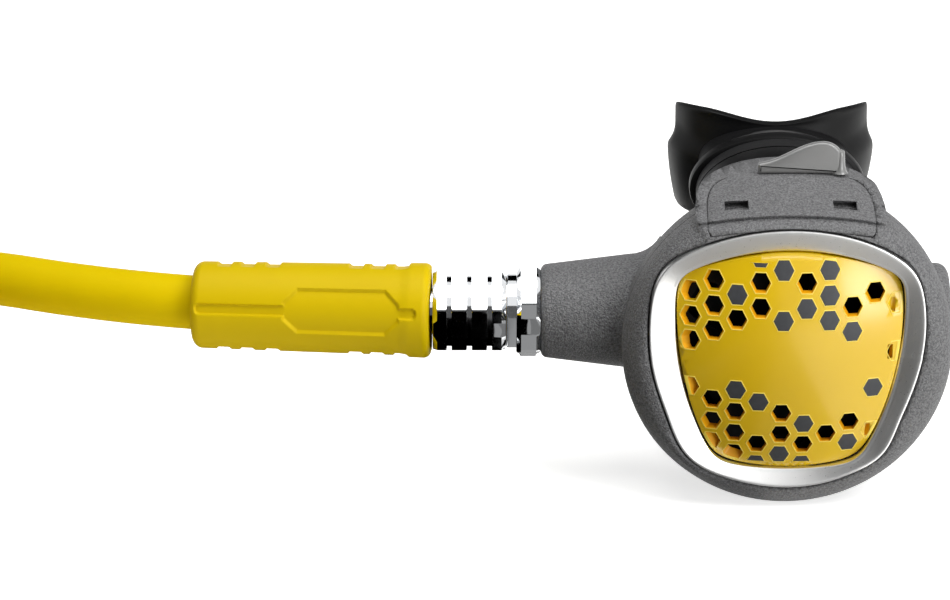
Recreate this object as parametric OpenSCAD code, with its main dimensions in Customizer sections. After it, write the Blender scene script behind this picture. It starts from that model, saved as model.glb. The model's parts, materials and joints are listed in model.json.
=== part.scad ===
// Scuba second stage (demand valve) on its low pressure hose.
// Working frame: X along the valve barrel, Y from the purge button to the mouthpiece, Z up,
// with its origin at the centre of the case. to_row() stands the part on the foot of the
// exhaust tee, whose centre is the origin of the finished model.

/* [Case] */
// Outside radius of the case and of the front cover
case_r = 36; // [34:0.5:42]
// Plane where the front cover meets the case
parting_y = -6; // [-7:0.5:-5]
// Back of the domed case
back_y = 20; // [18:0.5:24]
// Radius of the shoulder between the side and the dome
shoulder_r = 16; // [12:0.5:18]
// Wall of the dome
wall = 2.2; // [1.6:0.1:3]
// Inside radius of the air chamber
chamber_r = 27.6; // [26:0.2:28]
// Half width of the raised block that carries the top clip
block_half = 20.6; // [20:0.2:23]
// How far the block's roof lies below the top of the case
roof_drop = 0.4; // [0:0.1:1]
// Slope of the roof towards the front, in degrees
roof_slope = 15.5; // [10:0.5:18]
// Crown radius of the roof across the block
crown_r = 118; // [90:1:160]

/* [Cover] */
// Front face of the cover
front_y = -15; // [-17:0.5:-14]
// Rounding of the cover's front edge
edge_r = 7; // [5:0.5:8]
// Depth of the recess that holds the trim frame
trim_seat = 2.7; // [2:0.1:3]
// Thickness of the ledge behind the trim frame
ledge_t = 1.5; // [1:0.1:2]
// Bore radius that holds the spring carrier and the diaphragm
cover_bore_r = 29; // [28.6:0.2:29.4]

/* [Purge button] */
// Top of the button's outline above the centre
button_top = 23.28; // [22:0.02:24]
// Bottom of the button's outline below the centre
button_bottom = 26.02; // [25:0.02:27]
// Half width of the button
button_half = 24.47; // [23:0.01:25.4]
// Radius of the domed front
dome_r = 62; // [50:1:90]
// Apex of the dome in front of the cover's face
dome_rise = 4; // [3:0.1:5]
// Thickness of the button's shell
button_t = 1.6; // [1.2:0.1:2]
// Travel of the button
press_travel = 3; // [2:0.1:3]
// Width of a hexagonal hole over its corners
hex_w = 4.42; // [3.5:0.02:4.6]
// Height of a hexagonal hole over its flats
hex_h = 4.2; // [3.5:0.1:4.6]
// Pitch of the hexagon columns
hex_column = 4.97; // [4.8:0.01:5.2]
// Pitch of the hexagon rows
hex_row = 5.33; // [5.2:0.01:5.8]

/* [Trim frame] */
// Top of the frame's outline above the centre
trim_top = 28.98; // [28:0.02:29.4]
// Bottom of the frame's outline below the centre
trim_bottom = 30.63; // [30:0.01:31]
// Half width of the frame
trim_half = 30.08; // [29:0.02:30.4]
// How far the frame's outer edge stands in front of the cover
trim_proud = 0.2; // [0:0.1:0.6]
// Drop of the dished face from its outer to its inner edge
trim_dish = 1.9; // [1:0.1:2]

/* [Top clip] */
// Half width of the clip
clip_half = 18; // [17:0.1:18.4]
// Thickness of the clip
clip_t = 1.6; // [1.2:0.1:1.6]
// Width of one of the two slots
slot_w = 5.1; // [4:0.1:6]
// Height of a slot
slot_h = 2.7; // [2.5:0.1:3.6]
// Distance of a slot's middle from the middle of the clip
slot_x = 11.7; // [11:0.1:12.5]

/* [Valve barrel] */
// Height of the valve axis above the centre of the case
axis_z = 2.8; // [1:0.1:4]
// Distance of the valve axis behind the centre of the case
axis_y = 7; // [6.6:0.1:8]
// Outside radius of the barrel inside the case
barrel_r = 6.8; // [6.6:0.05:7]
// Inside radius of the barrel
bore_r = 5; // [4.6:0.05:5.2]
// Major radius of the 9/16-18 inlet thread
inlet_r = 7.14; // [7.1:0.01:7.3]
// Open inlet end of the barrel
inlet_x = -71; // [-73:0.5:-70]
// Lever end of the barrel
barrel_end_x = 12; // [11:0.5:13]
// Thickness of the barrel's end wall
end_wall = 3; // [2:0.1:4]
// Place of the valve seat along the barrel
seat_x = -20; // [-22:0.5:-18]
// Radius of the poppet's stem
stem_r = 1.2; // [1:0.05:1.4]

/* [Inlet nuts] */
// Free end of the case's inlet neck
neck_x = -53.5; // [-55:0.5:-52]
// Outside radius of the neck at its free end
neck_r = 10.4; // [9.6:0.1:11]
// Width of the case nut over its flats
case_nut_af = 19; // [17:0.5:20]
// Thickness of the case nut's hexagon
case_nut_t = 5.4; // [4.5:0.1:6]
// Thickness of the case nut's collar
collar_t = 2.2; // [1.5:0.1:3]
// Width of the swivel nut over its flats
swivel_af = 17.5; // [17:0.1:18.5]
// Length of the swivel nut
swivel_len = 16.2; // [15.5:0.1:17]
// Width of a groove round the swivel nut
groove_w = 1.1; // [0.8:0.1:1.4]

/* [Hose] */
// Outside diameter of the hose
hose_d = 12; // [11:0.5:12.5]
// Outside radius of the crimped ferrules
ferrule_r = 7.2; // [7:0.1:7.4]
// Length of a ferrule
ferrule_len = 15; // [12:0.5:16]
// Length of the rubber hose protector
sleeve_len = 52.9; // [50:0.5:56]
// Outside radius of the protector at the valve
sleeve_r = 10.15; // [10:0.05:11]
// Outside radius of the protector at the hose
sleeve_tip_r = 9.6; // [9.4:0.05:10.2]
// Angle by which the hose pulls the protector towards the back
sleeve_yaw = 4.5; // [4:0.5:5]
// Major radius of the 3/8-24 thread at the far end
port_r = 4.76; // [4.7:0.01:4.8]
// Length of the far thread
port_len = 9; // [7:0.5:11]
// Inner radius of the wound hose's centreline
coil_r = 57; // [54:0.5:60]

/* [Dive lever] */
// Place of the lever's shaft along X
dive_x = 3.5; // [2:0.1:5]
// Place of the lever's shaft along Y
dive_y = 6.6; // [6.4:0.1:7]
// Radius of the lever's shaft
dive_shaft_r = 2.5; // [2:0.1:2.6]
// Height of the fin above its hub
fin_h = 6.8; // [5:0.1:8]
// Thickness of the fin
fin_t = 2; // [1.5:0.1:2.4]

/* [Mouthpiece] */
// Upward tilt of the mouth tube, in degrees
mouth_tilt = 10; // [5:1:14]
// Outside width of the mouth tube
tube_w = 31; // [29:0.5:32]
// Outside height of the mouth tube
tube_h = 20; // [18:0.5:21]
// Length of the mouth tube behind its root
tube_len = 22; // [21:0.5:24]
// Wall of the rubber collar round the tube
rubber_t = 3; // [2.5:0.1:3.5]
// Half width of the lip flange at its upper corners
flange_half = 21.1; // [20:0.1:22]
// How far its sides stand out below these corners
flange_bulge = 2.5; // [1:0.1:3]
// Top of the lip flange above the mouth axis, at the middle
flange_high = 10.6; // [10:0.1:12]
// Bottom of the lip flange below the mouth axis, at the sides
flange_low = 17; // [14:0.1:18]
// Length of the bite tabs behind the flange
bite_len = 17; // [14:0.5:19]

/* [Exhaust] */
// Outside radius of the exhaust seat
exhaust_r = 14.2; // [13.8:0.1:14.6]
// Distance of the seat's face from the centre of the case
exhaust_at = 22; // [21.5:0.1:22.5]
// Radius of the mushroom valve
flap_r = 12.3; // [12:0.1:12.5]
// Distance of the tee's duct behind the centre of the case
tee_y = 26; // [25:0.5:28]
// Outside radius of the tee's duct
duct_r = 8.5; // [8:0.1:9]
// Half length of the tee's duct
duct_half = 25; // [24:0.5:30]
// Wall of the tee
tee_wall = 1.6; // [1.2:0.1:2]

/* [Hidden] */

// Clearances
fit = 0.05;        // a part pressed or screwed home, and the running fit of a shaft
gap = 0.15;        // a seam between two mouldings
seam = 0.3;        // the open joint between cover and case
rest_gap = 0.3;    // a soft or moving piece from what it bears on
over = 0.5;        // how far a cut runs past a face

$fn = 72;
turn_fn = 96;

// Colours
grey = [0.30, 0.30, 0.31];
silver = [0.75, 0.75, 0.76];
yellow = [0.90, 0.75, 0.02];
black = [0.07, 0.07, 0.075];
chrome = [0.86, 0.87, 0.88];
brass = [0.72, 0.58, 0.28];
steel = [0.62, 0.63, 0.65];
silicone = [0.55, 0.57, 0.60];

// ---------------------------------------------------------------- helpers

// Points along an arc, from angle a0 to a1 in n steps
function arc(cx, cy, r, a0, a1, n) =
    [for (i = [0:n]) let (a = a0 + (a1 - a0) * i / n) [cx + r * cos(a), cy + r * sin(a)]];

// The upper half of a superellipse, from right to left in n steps; it springs at the height y
// with the half width h, and rises by up
function arch(h, y, up, power, n) = [for (i = [0:n]) let (a = 180 * i / n, e = 2 / power)
    [h * sign(cos(a)) * pow(abs(cos(a)), e), y + up * pow(sin(a), e)]];

// A step from 0 to 1 that starts and ends level
function ease(t) = let (u = min(1, max(0, t))) 0.5 - 0.5 * cos(180 * u);

// From the centre of the case to the foot of the tee
module to_row() translate([0, -tee_y, case_r]) children();

// A profile of [radius, y] turned about Y
module turned_y(n = turn_fn) rotate([-90, 0, 0]) rotate_extrude($fn = n) children();

// A profile of [radius, x] turned about the valve axis
module on_axis() translate([0, axis_y, axis_z]) children();
module turned_x(n = turn_fn) on_axis() rotate([0, 90, 0]) rotate_extrude($fn = n) children();

// A rod along the valve axis, between two places
module rod_x(r, x0, x1) on_axis() translate([x0, 0, 0]) rotate([0, 90, 0])
    cylinder(r = r, h = x1 - x0);

// A hexagon along the valve axis, with a corner turned up from the front by an angle
module hex_x(af, x0, x1, turn) on_axis() translate([x0, 0, 0]) rotate([0, 90, 0])
    rotate([0, 0, 30 - turn]) cylinder(r = af / sqrt(3), h = x1 - x0, $fn = 6);

// A flat shape drawn in X and Z, between two planes of Y
module flat_y(y0, y1) translate([0, y1, 0]) rotate([90, 0, 0]) linear_extrude(y1 - y0) children();

// A flat shape drawn in Y and Z, between two planes of X
module flat_x(x0, x1) translate([x0, 0, 0]) rotate([90, 0, 90]) linear_extrude(x1 - x0) children();

// A ring of round section about Z
module ring_z(r, d) rotate_extrude($fn = 48) translate([r, 0]) circle(d = d, $fn = 24);

// A slot with round ends, w by h over all
module stadium(w, h) {
    square([w - h, h], center = true);
    for (s = [-1, 1]) translate([s * (w - h) / 2, 0]) circle(d = h);
}

// An oval, w by h
module oval(w, h, n = 72) polygon([for (i = [0:n - 1]) let (a = 360 * i / n)
    [w / 2 * cos(a), h / 2 * sin(a)]]);

// A rectangle with round corners
module rounded(w, h, r) {
    square([w, h - 2 * r], center = true);
    square([w - 2 * r, h], center = true);
    for (sx = [-1, 1], sz = [-1, 1]) translate([sx * (w / 2 - r), sz * (h / 2 - r)]) circle(r = r);
}

// A closed tube swept through points, with level ring frames; the ends are square to the path
function unit(v) = v / norm(v);
function heading(p, i) = unit(p[min(len(p) - 1, i + 1)] - p[max(0, i - 1)]);
function tube_ring(c, t, r, n, a0) =
    let (side = unit(cross([0, 0, 1], t)), rise = cross(t, side))
    [for (k = [0:n - 1]) let (a = a0 + 360 * k / n) c + r * (cos(a) * side + sin(a) * rise)];
module tube(p, r, n, a0 = 0, first = undef, last = undef) {
    m = len(p);
    rings = [for (i = [0:m - 1])
        let (t = i == 0 && first != undef ? first :
            i == m - 1 && last != undef ? last : heading(p, i))
        each tube_ring(p[i], t, r, n, a0)];
    sides = [for (i = [0:m - 2], k = [0:n - 1]) let (a = i * n + k, b = i * n + (k + 1) % n)
        each [[a, a + n, b + n], [a, b + n, b]]];
    polyhedron(rings, concat(sides, [[for (k = [0:n - 1]) k]],
        [[for (k = [0:n - 1]) m * n - 1 - k]]));
}

// A coil spring about Z from z0 to z1, as one unbroken wire
module spring(r, wire, z0, z1, turns) {
    steps = round(8 * turns);
    low = z0 + wire / 2;
    pitch = z1 - z0 - wire;
    tube([for (i = [0:steps]) let (a = 45 * i, t = i / steps)
        [r * cos(a), r * sin(a), low + pitch * t]], wire / 2, 6);
}

// ---------------------------------------------------------------- outlines

// Distance from the origin to a circle, along a ray at angle a
function to_circle(c, r, a) =
    let (along = c[0] * cos(a) + c[1] * sin(a))
    along + sqrt(along * along - c * c + r * r);

// A shield outline whose four sides are arcs that blend into each other. Each side is given
// by its distance from the centre, and its arc's radius.
function shield_r(a, top, top_r, bottom, bottom_r, half, half_r, half_z, blend) =
    let (n = -blend, reach = [to_circle([0, top - top_r], top_r, a),
        to_circle([0, bottom_r - bottom], bottom_r, a),
        to_circle([half - half_r, half_z], half_r, a),
        to_circle([half_r - half, half_z], half_r, a)])
    pow(pow(reach[0], n) + pow(reach[1], n) + pow(reach[2], n) + pow(reach[3], n), 1 / n);

outline_n = 96;
function button_edge(a, grow = 0) =
    shield_r(a, button_top, 53.75, button_bottom, 63.42, button_half, 77.2, 11.53, 19.54) + grow;
function trim_edge(a, grow = 0) =
    shield_r(a, trim_top, 51.29, trim_bottom, 38.95, trim_half, 61.23, 10.47, 15.25) + grow;
module button_outline(grow = 0)
    polygon([for (i = [0:outline_n - 1]) let (a = 360 * i / outline_n)
        button_edge(a, grow) * [cos(a), sin(a)]]);
module trim_outline(grow = 0)
    polygon([for (i = [0:outline_n - 1]) let (a = 360 * i / outline_n)
        trim_edge(a, grow) * [cos(a), sin(a)]]);

// ---------------------------------------------------------------- the form of case and cover

shoulder_y = -4;
shoulder_x = case_r - shoulder_r;
dome_out = (pow(shoulder_x, 2) + pow(back_y - shoulder_y, 2) - pow(shoulder_r, 2))
    / (2 * (back_y - shoulder_y - shoulder_r));
dome_y = back_y - dome_out;
dome_angle = atan2(shoulder_y - dome_y, shoulder_x);

// The turned body, drawn in by d on every side
module round_form(d = 0) turned_y() polygon(concat(
    [[0, front_y + d]],
    arc(case_r - edge_r, front_y + edge_r, edge_r - d, -90, 0, 8),
    arc(shoulder_x, shoulder_y, shoulder_r - d, 0, dome_angle, 6),
    arc(0, dome_y, dome_out - d, dome_angle, 90, 8)));

// Plan of the block: an arch, drawn as half a superellipse, with round front corners
block_back = 16;
block_spring = -10;
block_power = 2.3;
block_corner = 4;
module block_plan(d = 0) {
    h = block_half - d;
    y0 = front_y + 0.5 + d;
    polygon(concat(
        arc(h - block_corner, y0 + block_corner, block_corner, -90, 0, 5),
        arch(h, block_spring, block_back - block_spring - d, block_power, 25),
        arc(-h + block_corner, y0 + block_corner, block_corner, 180, 270, 5)));
}

// Everything below the crowned roof: a sloping cylinder in front and a level one behind
roof_break = 2;
roof_z = case_r - roof_drop;
module below_roof(d = 0) intersection() {
    translate([0, roof_break, roof_z - d]) rotate([roof_slope, 0, 0]) rotate([90, 0, 0])
        translate([0, -crown_r, -60]) cylinder(r = crown_r, h = 120, $fn = 180);
    translate([0, roof_break, roof_z - d]) rotate([90, 0, 0])
        translate([0, -crown_r, -60]) cylinder(r = crown_r, h = 120, $fn = 180);
}

// The roof's front edge overhangs a bevel that leads down to the front face. The groove is
// turned about the crown's axis, so it follows the crown.
crease_y = -12.75;
crease_drop = 2.23;
module crease() translate([0, 0, roof_z - crown_r]) intersection() {
    nose = crown_r - (roof_break - crease_y) * tan(roof_slope);
    low = nose - crease_drop;
    turned_y(180) polygon([[nose + 3, front_y - 2], [nose + 3, crease_y], [nose - 0.1, crease_y],
        [nose - 0.35, crease_y + 0.15], [nose - 0.6, crease_y + 0.6],
        [nose - 0.75, crease_y + 0.45], [low, front_y + 0.1], [low - 0.8, front_y - 2]]);
    translate([-block_half - 1, -60, crown_r - 20]) cube([2 * block_half + 2, 60, 30]);
}

block_low = 15;
module block(d = 0) intersection() {
    translate([0, 0, block_low]) linear_extrude(40) block_plan(d);
    below_roof(d);
}

// Case and cover together without what is fixed to them
module main_form(d = 0) {
    difference() {
        round_form(d);
        translate([0, 0, block_low]) linear_extrude(40) block_plan(d);
    }
    block(d);
}

// ---------------------------------------------------------------- places along Y, front to back

trim_back = front_y + trim_seat;
ledge_back = trim_back + ledge_t;
bead_t = 1.6;
bead_in_r = chamber_r;
bead_back = parting_y + 0.6;
bead_front = bead_back - bead_t;
skin_t = 0.8;
skin_back = bead_back - 0.2;
skin_front = skin_back - skin_t;
plate_t = 0.5;
plate_back = skin_back + plate_t;
plate_r = 13;
web_t = 1;
apex_y = front_y - dome_rise;
skirt_back = bead_front - web_t - 0.2 - press_travel;
boss_tip = skin_front - rest_gap;
boss_r = 4.5;

// ---------------------------------------------------------------- clip

// Seam of the clip, in a plane that leans back by clip_lean: across X, and up the lean
clip_lean = 35;
clip_back = 3.1;
clip_top = roof_z * cos(clip_lean) + clip_back * sin(clip_lean) + 0.65;
module clip_seam(grow = 0) {
    h = clip_half + grow;
    low = clip_top - 18 - grow;
    c = 2.2;
    polygon(concat(
        arc(h - c, low + c, c, -50, 0, 3),
        arch(h, clip_top - 14.6, 14.6 + grow, 3.8, 25),
        arc(c - h, low + c, c, 180, 230, 3),
        [[-8, low + 1.2], [0, low + 1.6], [8, low + 1.2]]));
}
// The seam's prism runs down and back through the roof and the front face; the clip ends
// square in front of the lever
clip_reach = -12;
module clip_prism(grow = 0) intersection() {
    rotate([-clip_lean, 0, 0]) translate([0, clip_reach, 0]) rotate([90, 0, 0])
        linear_extrude(40) clip_seam(grow);
    translate([-50, clip_back + grow - 100, -50]) cube(100);
}

// What lies under the clip, at the depth d
module clip_bed(d) intersection() {
    below_roof(d);
    translate([-50, front_y + 0.5 + d, block_low]) cube(100);
}

// The space that the clip fills, with its seam and its bed
module clip_pocket() difference() {
    clip_prism(gap);
    clip_bed(clip_t + gap);
    translate([-50, -60, -60]) cube([100, 120, 60 + block_low + 4]);
}

slot_down = 11.2;
module clip_slots()
    rotate([-clip_lean, 0, 0]) for (s = [-1, 1])
        translate([s * slot_x - slot_w / 2, -40, clip_top - slot_down]) cube([slot_w, 60, slot_h]);

// ---------------------------------------------------------------- case

mouth_root = [0, 14, 20.2];
module along_mouth(from = 0) translate(mouth_root) rotate([mouth_tilt - 90, 0, 0])
    translate([0, 0, from]) children();
tube_wall = 2.2;
groove_at = tube_len - 9;
groove_len = 4.6;
groove_deep = 0.8;

// The exhaust axis points down and back
module along_exhaust(from = 0) rotate([-135, 0, 0]) translate([0, 0, from]) children();
hub_r = 3;
flap_stem_r = 1.5;
spoke_t = 1.8;

boss_x = case_r + 0.3;
right_boss_r = 10.6;
neck_root_x = -34;
neck_root_r = 12.6;
spot_x = -(chamber_r + 0.9);
flange_r = 8.3;
flange_t = 2;

// Inlet neck and closed boss, turned about the valve axis
module neck() turned_x() polygon(concat(
    [[0, neck_x]],
    arc(neck_r - 1.5, neck_x + 1.5, 1.5, -90, 0, 4),
    [[neck_root_r, neck_root_x]],
    arc(neck_root_r + 8, neck_root_x, 8, 180, 120, 6),
    [[0, neck_root_x + 8]]));
module right_boss() turned_x() polygon(concat(
    [[0, 20], [right_boss_r, 20]],
    arc(right_boss_r - 2.5, boss_x - 2.5, 2.5, 0, 90, 5),
    [[0, boss_x]]));

module case() color(grey) difference() {
    union() {
        intersection() {
            main_form();
            translate([-60, parting_y, -60]) cube([120, 90, 120]);
        }
        neck();
        right_boss();
        along_mouth(-8) linear_extrude(tube_len + 8) oval(tube_w, tube_h);
        along_exhaust(8) cylinder(r = exhaust_r, h = exhaust_at - 8);
    }
    // air chamber, and the seat of the diaphragm's bead
    intersection() {
        round_form(wall);
        rotate([-90, 0, 0]) translate([0, 0, parting_y - over]) cylinder(r = chamber_r, h = 60);
    }
    rotate([-90, 0, 0]) translate([0, 0, parting_y - over])
        cylinder(r = cover_bore_r, h = bead_back - parting_y + over);
    clip_pocket();
    // room for the cover, whose form the neck and the boss run into
    intersection() {
        main_form(-gap);
        translate([-60, -60, -60]) cube([120, 60 + parting_y, 120]);
    }
    // mouth bore and the groove of its clamp
    along_mouth(-10) linear_extrude(tube_len + 20)
        oval(tube_w - 2 * tube_wall, tube_h - 2 * tube_wall);
    along_mouth(groove_at) linear_extrude(groove_len) difference() {
        oval(tube_w + 6, tube_h + 6);
        oval(tube_w - 2 * groove_deep, tube_h - 2 * groove_deep);
    }
    // exhaust: everything past the seat, then four openings round a hub
    along_exhaust(exhaust_at) cylinder(r = exhaust_r + 3, h = 30);
    along_exhaust(0) difference() {
        cylinder(r = flap_r - 1.7, h = exhaust_at + 1);
        translate([0, 0, exhaust_at - spoke_t]) {
            cylinder(r = hub_r, h = spoke_t + 2);
            for (k = [0, 90]) rotate([0, 0, k + 45])
                translate([-flap_r, -0.9, 0]) cube([2 * flap_r, 1.8, spoke_t]);
        }
    }
    along_exhaust(0) cylinder(r = flap_stem_r + fit, h = 40);
    // barrel bore with its spot face, and the hollow of the closed boss
    rod_x(inlet_r + fit, neck_x - over, 0);
    rod_x(flange_r + gap, spot_x, -chamber_r + 8);
    rod_x(right_boss_r - 3, 0, boss_x - 2.6);
    // shaft of the dive lever, with a counterbore for its seal
    translate([dive_x, dive_y, 20]) cylinder(r = dive_shaft_r + fit, h = 30);
    translate([dive_x, dive_y, 20]) cylinder(r = seal_r + fit, h = seal_top - 20);
}

// ---------------------------------------------------------------- front cover and trim

module front_cover() color(grey) difference() {
    intersection() {
        main_form();
        translate([-60, -60, -60]) cube([120, 60 + parting_y - seam, 120]);
    }
    rotate([-90, 0, 0]) translate([0, 0, ledge_back])
        cylinder(r = cover_bore_r, h = parting_y - ledge_back + over);
    flat_y(front_y - 5, trim_back) trim_outline(gap);
    flat_y(front_y - 5, ledge_back + over) button_outline(1.9);
    clip_pocket();
    crease();
}

// Each section of the frame is cut at the angle a, from its inner to its outer edge
function trim_section(a) =
    let (ri = button_edge(a, 0.35), ro = trim_edge(a), c = cos(a), s = sin(a),
        lip = ri + 0.9, face = front_y - trim_proud)
    [[ri * c, trim_back, ri * s], [ro * c, trim_back, ro * s],
        [ro * c, face + 0.3, ro * s], [(ro - 0.4) * c, face, (ro - 0.4) * s],
        [lip * c, face + trim_dish - 0.3, lip * s], [ri * c, face + trim_dish + 0.2, ri * s]];
module trim_frame() color(silver) {
    n = outline_n;
    polyhedron([for (i = [0:n - 1]) each trim_section(360 * i / n)],
        [for (i = [0:n - 1], k = [0:5])
            let (a = i * 6 + k, b = i * 6 + (k + 1) % 6, j = ((i + 1) % n) * 6)
            [a, b, j + (k + 1) % 6, j + k]]);
}

// ---------------------------------------------------------------- purge button

// Columns and rows of the holes, counted from the middle hexagon
hex_mid = [-1.72, -1.35];
hex_holes = [[-4, 3], [-4, 2], [-4, 1], [-3, 3.5], [-3, 2.5], [-3, 1.5], [-2, 2], [-1, 3.5],
    [-1, 2.5], [1, 3.5], [3, 2.5], [4, 3], [-4, -1], [-3, -1.5], [-3, -2.5], [-3, -3.5],
    [-2, -2], [-2, -3], [-2, -4], [-1, -3.5], [0, -2], [0, -3], [1, -3.5], [2, -3], [3, -2.5]];
module hexagon() polygon([[hex_w / 2, 0], [hex_w / 4, hex_h / 2], [-hex_w / 4, hex_h / 2],
    [-hex_w / 2, 0], [-hex_w / 4, -hex_h / 2], [hex_w / 4, -hex_h / 2]]);
// Slots along the right edge
edge_slots = [[22.1, 11.6], [21.7, 1.3], [17.4, -17.2]];

module dome(d) translate([0, apex_y + dome_r, 0]) sphere(r = dome_r - d, $fn = 128);

module purge_button() color(yellow) {
    difference() {
        intersection() {
            flat_y(apex_y - 1, skirt_back) button_outline();
            dome(0);
        }
        difference() {
            intersection() {
                flat_y(apex_y - 1, skirt_back + over) button_outline(-1.3);
                dome(button_t);
            }
            flat_y(apex_y, boss_tip + over) circle(r = boss_r);
        }
        for (h = hex_holes)
            flat_y(apex_y - 1, skirt_back + over) translate(
                [hex_mid[0] + h[0] * hex_column, hex_mid[1] + h[1] * hex_row]) hexagon();
        for (s = edge_slots)
            flat_y(apex_y - 1, skirt_back - 1.5) translate(s) square([1.1, 3.2], center = true);
    }
    intersection() {
        dome(button_t / 2);
        rotate([-90, 0, 0]) translate([0, 0, apex_y]) cylinder(r = boss_r, h = boss_tip - apex_y);
    }
    // four tabs hold the button behind the frame's inner edge
    intersection() {
        flat_y(skirt_back - 1, skirt_back) difference() {
            button_outline(1.3);
            button_outline(-1.2);
        }
        union() {
            translate([-5, -60, -60]) cube([10, 120, 120]);
            translate([-60, -60, -7]) cube([120, 120, 10]);
        }
    }
}

purge_spring_r = 6.6;
module purge_spring() color(steel) rotate([-90, 0, 0])
    spring(purge_spring_r, 0.8, apex_y + button_t + 0.55, bead_front - web_t - fit, 4);

// Ring and web that carry the purge spring and clamp the diaphragm's bead
carrier_ring = 1;
window_in = purge_spring_r + 4.3;
window_out = cover_bore_r - 5.1;
window_w = 9;
module spring_carrier() color(black) {
    difference() {
        turned_y() polygon([[cover_bore_r - gap - carrier_ring, ledge_back + fit],
            [cover_bore_r - gap, ledge_back + fit], [cover_bore_r - gap, bead_front],
            [cover_bore_r - gap - carrier_ring, bead_front]]);
        // way for the corners of the button
        flat_y(ledge_back - 1, bead_front - web_t) button_outline(1.7);
    }
    flat_y(bead_front - web_t, bead_front) difference() {
        circle(r = cover_bore_r - gap - carrier_ring + 0.1);
        circle(r = boss_r + 0.5);
        for (k = [0:5]) rotate(30 + 60 * k) translate([(window_in + window_out) / 2, 0])
            rounded(window_out - window_in, window_w, window_w / 3);
    }
}

// ---------------------------------------------------------------- clip, dive lever

module top_clip() color(grey) difference() {
    intersection() {
        main_form();
        clip_prism();
        translate([-50, -60, block_low + 4 + gap]) cube([100, 120, 60]);
    }
    clip_bed(clip_t);
    clip_slots();
    crease();
    flat_y(front_y - 5, trim_back) trim_outline(gap);
}

seal_d = 1.6;
seal_r = dive_shaft_r + 1.2;
seal_top = roof_z - 3.2;
seal_z = seal_top - 1.1;
shaft_low = axis_z + barrel_r + 0.8;
hub_z = roof_z + rest_gap;

// The fin stands in front of the shaft's axis; from its low left end it rises to a round
// lobe, whose free edge is a tapered rib
fin_y = -2;
fin_left = -9.9;
fin_right = 8;
fin_low = 2;
lobe_r = 4.9;
function fin_top(x) = fin_low + (fin_h - fin_low) * ease((x - fin_left + 0.6) / 14);
module fin_outline() polygon(concat([[fin_left, 0]],
    [for (i = [0:12]) let (x = fin_left + (fin_right - lobe_r - fin_left) * i / 12)
        [x, fin_top(x) - (i == 0 ? 0.5 : 0)]],
    arc(fin_right - lobe_r, fin_h - lobe_r, lobe_r, 80, 20, 6),
    [[fin_right, 0]]));
module dive_lever() color(grey) translate([dive_x, dive_y, 0]) {
    difference() {
        translate([0, 0, shaft_low]) cylinder(r = dive_shaft_r, h = hub_z - shaft_low + 1);
        translate([0, 0, seal_z]) rotate_extrude($fn = 48)
            translate([dive_shaft_r, 0]) square([1.4, seal_d + 0.1], center = true);
        // slot that keys the vane to the shaft
        translate([-5, -0.6 - fit, shaft_low - over]) cube([10, 1.2 + 2 * fit, vane_h + over]);
    }
    translate([0, 0, hub_z]) cylinder(r = 4.2, h = 1.2);
    translate([0, fin_y, hub_z]) flat_y(-fin_t / 2, fin_t / 2) fin_outline();
    translate([fin_right, fin_y, hub_z]) cylinder(r1 = 1.6, r2 = 1, h = 1.6);
    translate([fin_right, fin_y, hub_z]) cylinder(r = 1, h = fin_h - 3);
}

module dive_o_ring() color(black) translate([dive_x, dive_y, seal_z])
    ring_z(dive_shaft_r - 0.7 + seal_d / 2 + fit, seal_d);

// Blade that turns the air towards the mouth or across it
vane_h = 8;
module deflector_vane() color(black) translate([dive_x, dive_y, shaft_low])
    translate([-7, -0.6, 0]) cube([9, 1.2, vane_h]);

// ---------------------------------------------------------------- mouthpiece

collar_at = 4;
bead_at = groove_at + groove_len;
bead_len = 3.4;
bead_out = 1.3;
module mouthpiece() color(black) {
    along_mouth(0) difference() {
        union() {
            translate([0, 0, collar_at]) linear_extrude(bead_at + bead_len - collar_at)
                oval(tube_w + 2 * rubber_t, tube_h + 2 * rubber_t);
            translate([0, 0, bead_at]) linear_extrude(bead_len)
                oval(tube_w + 2 * (rubber_t + bead_out), tube_h + 2 * rubber_t);
            funnel(tube_len - 1.5, tube_w + 2 * rubber_t - 1, tube_h + 2 * rubber_t - 1,
                tube_len + 6, mouth_w + 2, mouth_h + 4.5);
            lip_flange();
        }
        translate([0, 0, -1]) linear_extrude(tube_len + 1)
            oval(tube_w + 2 * fit, tube_h + 2 * fit);
        funnel(tube_len - 1, tube_w, tube_h, tube_len + 8.5, mouth_w - 4, mouth_h - 4);
        translate([0, 0, groove_at + 0.3]) linear_extrude(groove_len - 0.6) difference() {
            oval(tube_w + 12, tube_h + 12);
            oval(tube_w + 2 * rubber_t - 2.4, tube_h + 2 * rubber_t - 2.4);
        }
    }
    along_mouth(tube_len + 8) for (s = [-1, 1]) bite(s);
}

// The collar narrows to the mouth, from the oval w0 by h0 to the oval w1 by h1
mouth_w = 30;
mouth_h = 14;
module funnel(t0, w0, h0, t1, w1, h1) hull() {
    translate([0, 0, t0]) linear_extrude(0.4) oval(w0, h0, 48);
    translate([0, 0, t1]) linear_extrude(0.4) oval(w1, h1, 48);
}

// Curved shield behind the lips: u runs across and v up, and the wings bend back
lip_t = 2.2;
lip_at = tube_len + 4.2;
lip_sweep = 15;
// Upper and lower edges of the shield, above and below the mouth axis. The upper one rises
// from its notch and falls to the corners.
function lip_top(u) = flange_high + 1.6 * ease(2 * abs(u))
    - 3.4 * pow(max(0, 2 * abs(u) - 1), 1.6);
function lip_low(u) = -flange_low + 3 * (1 - u * u);
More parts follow.
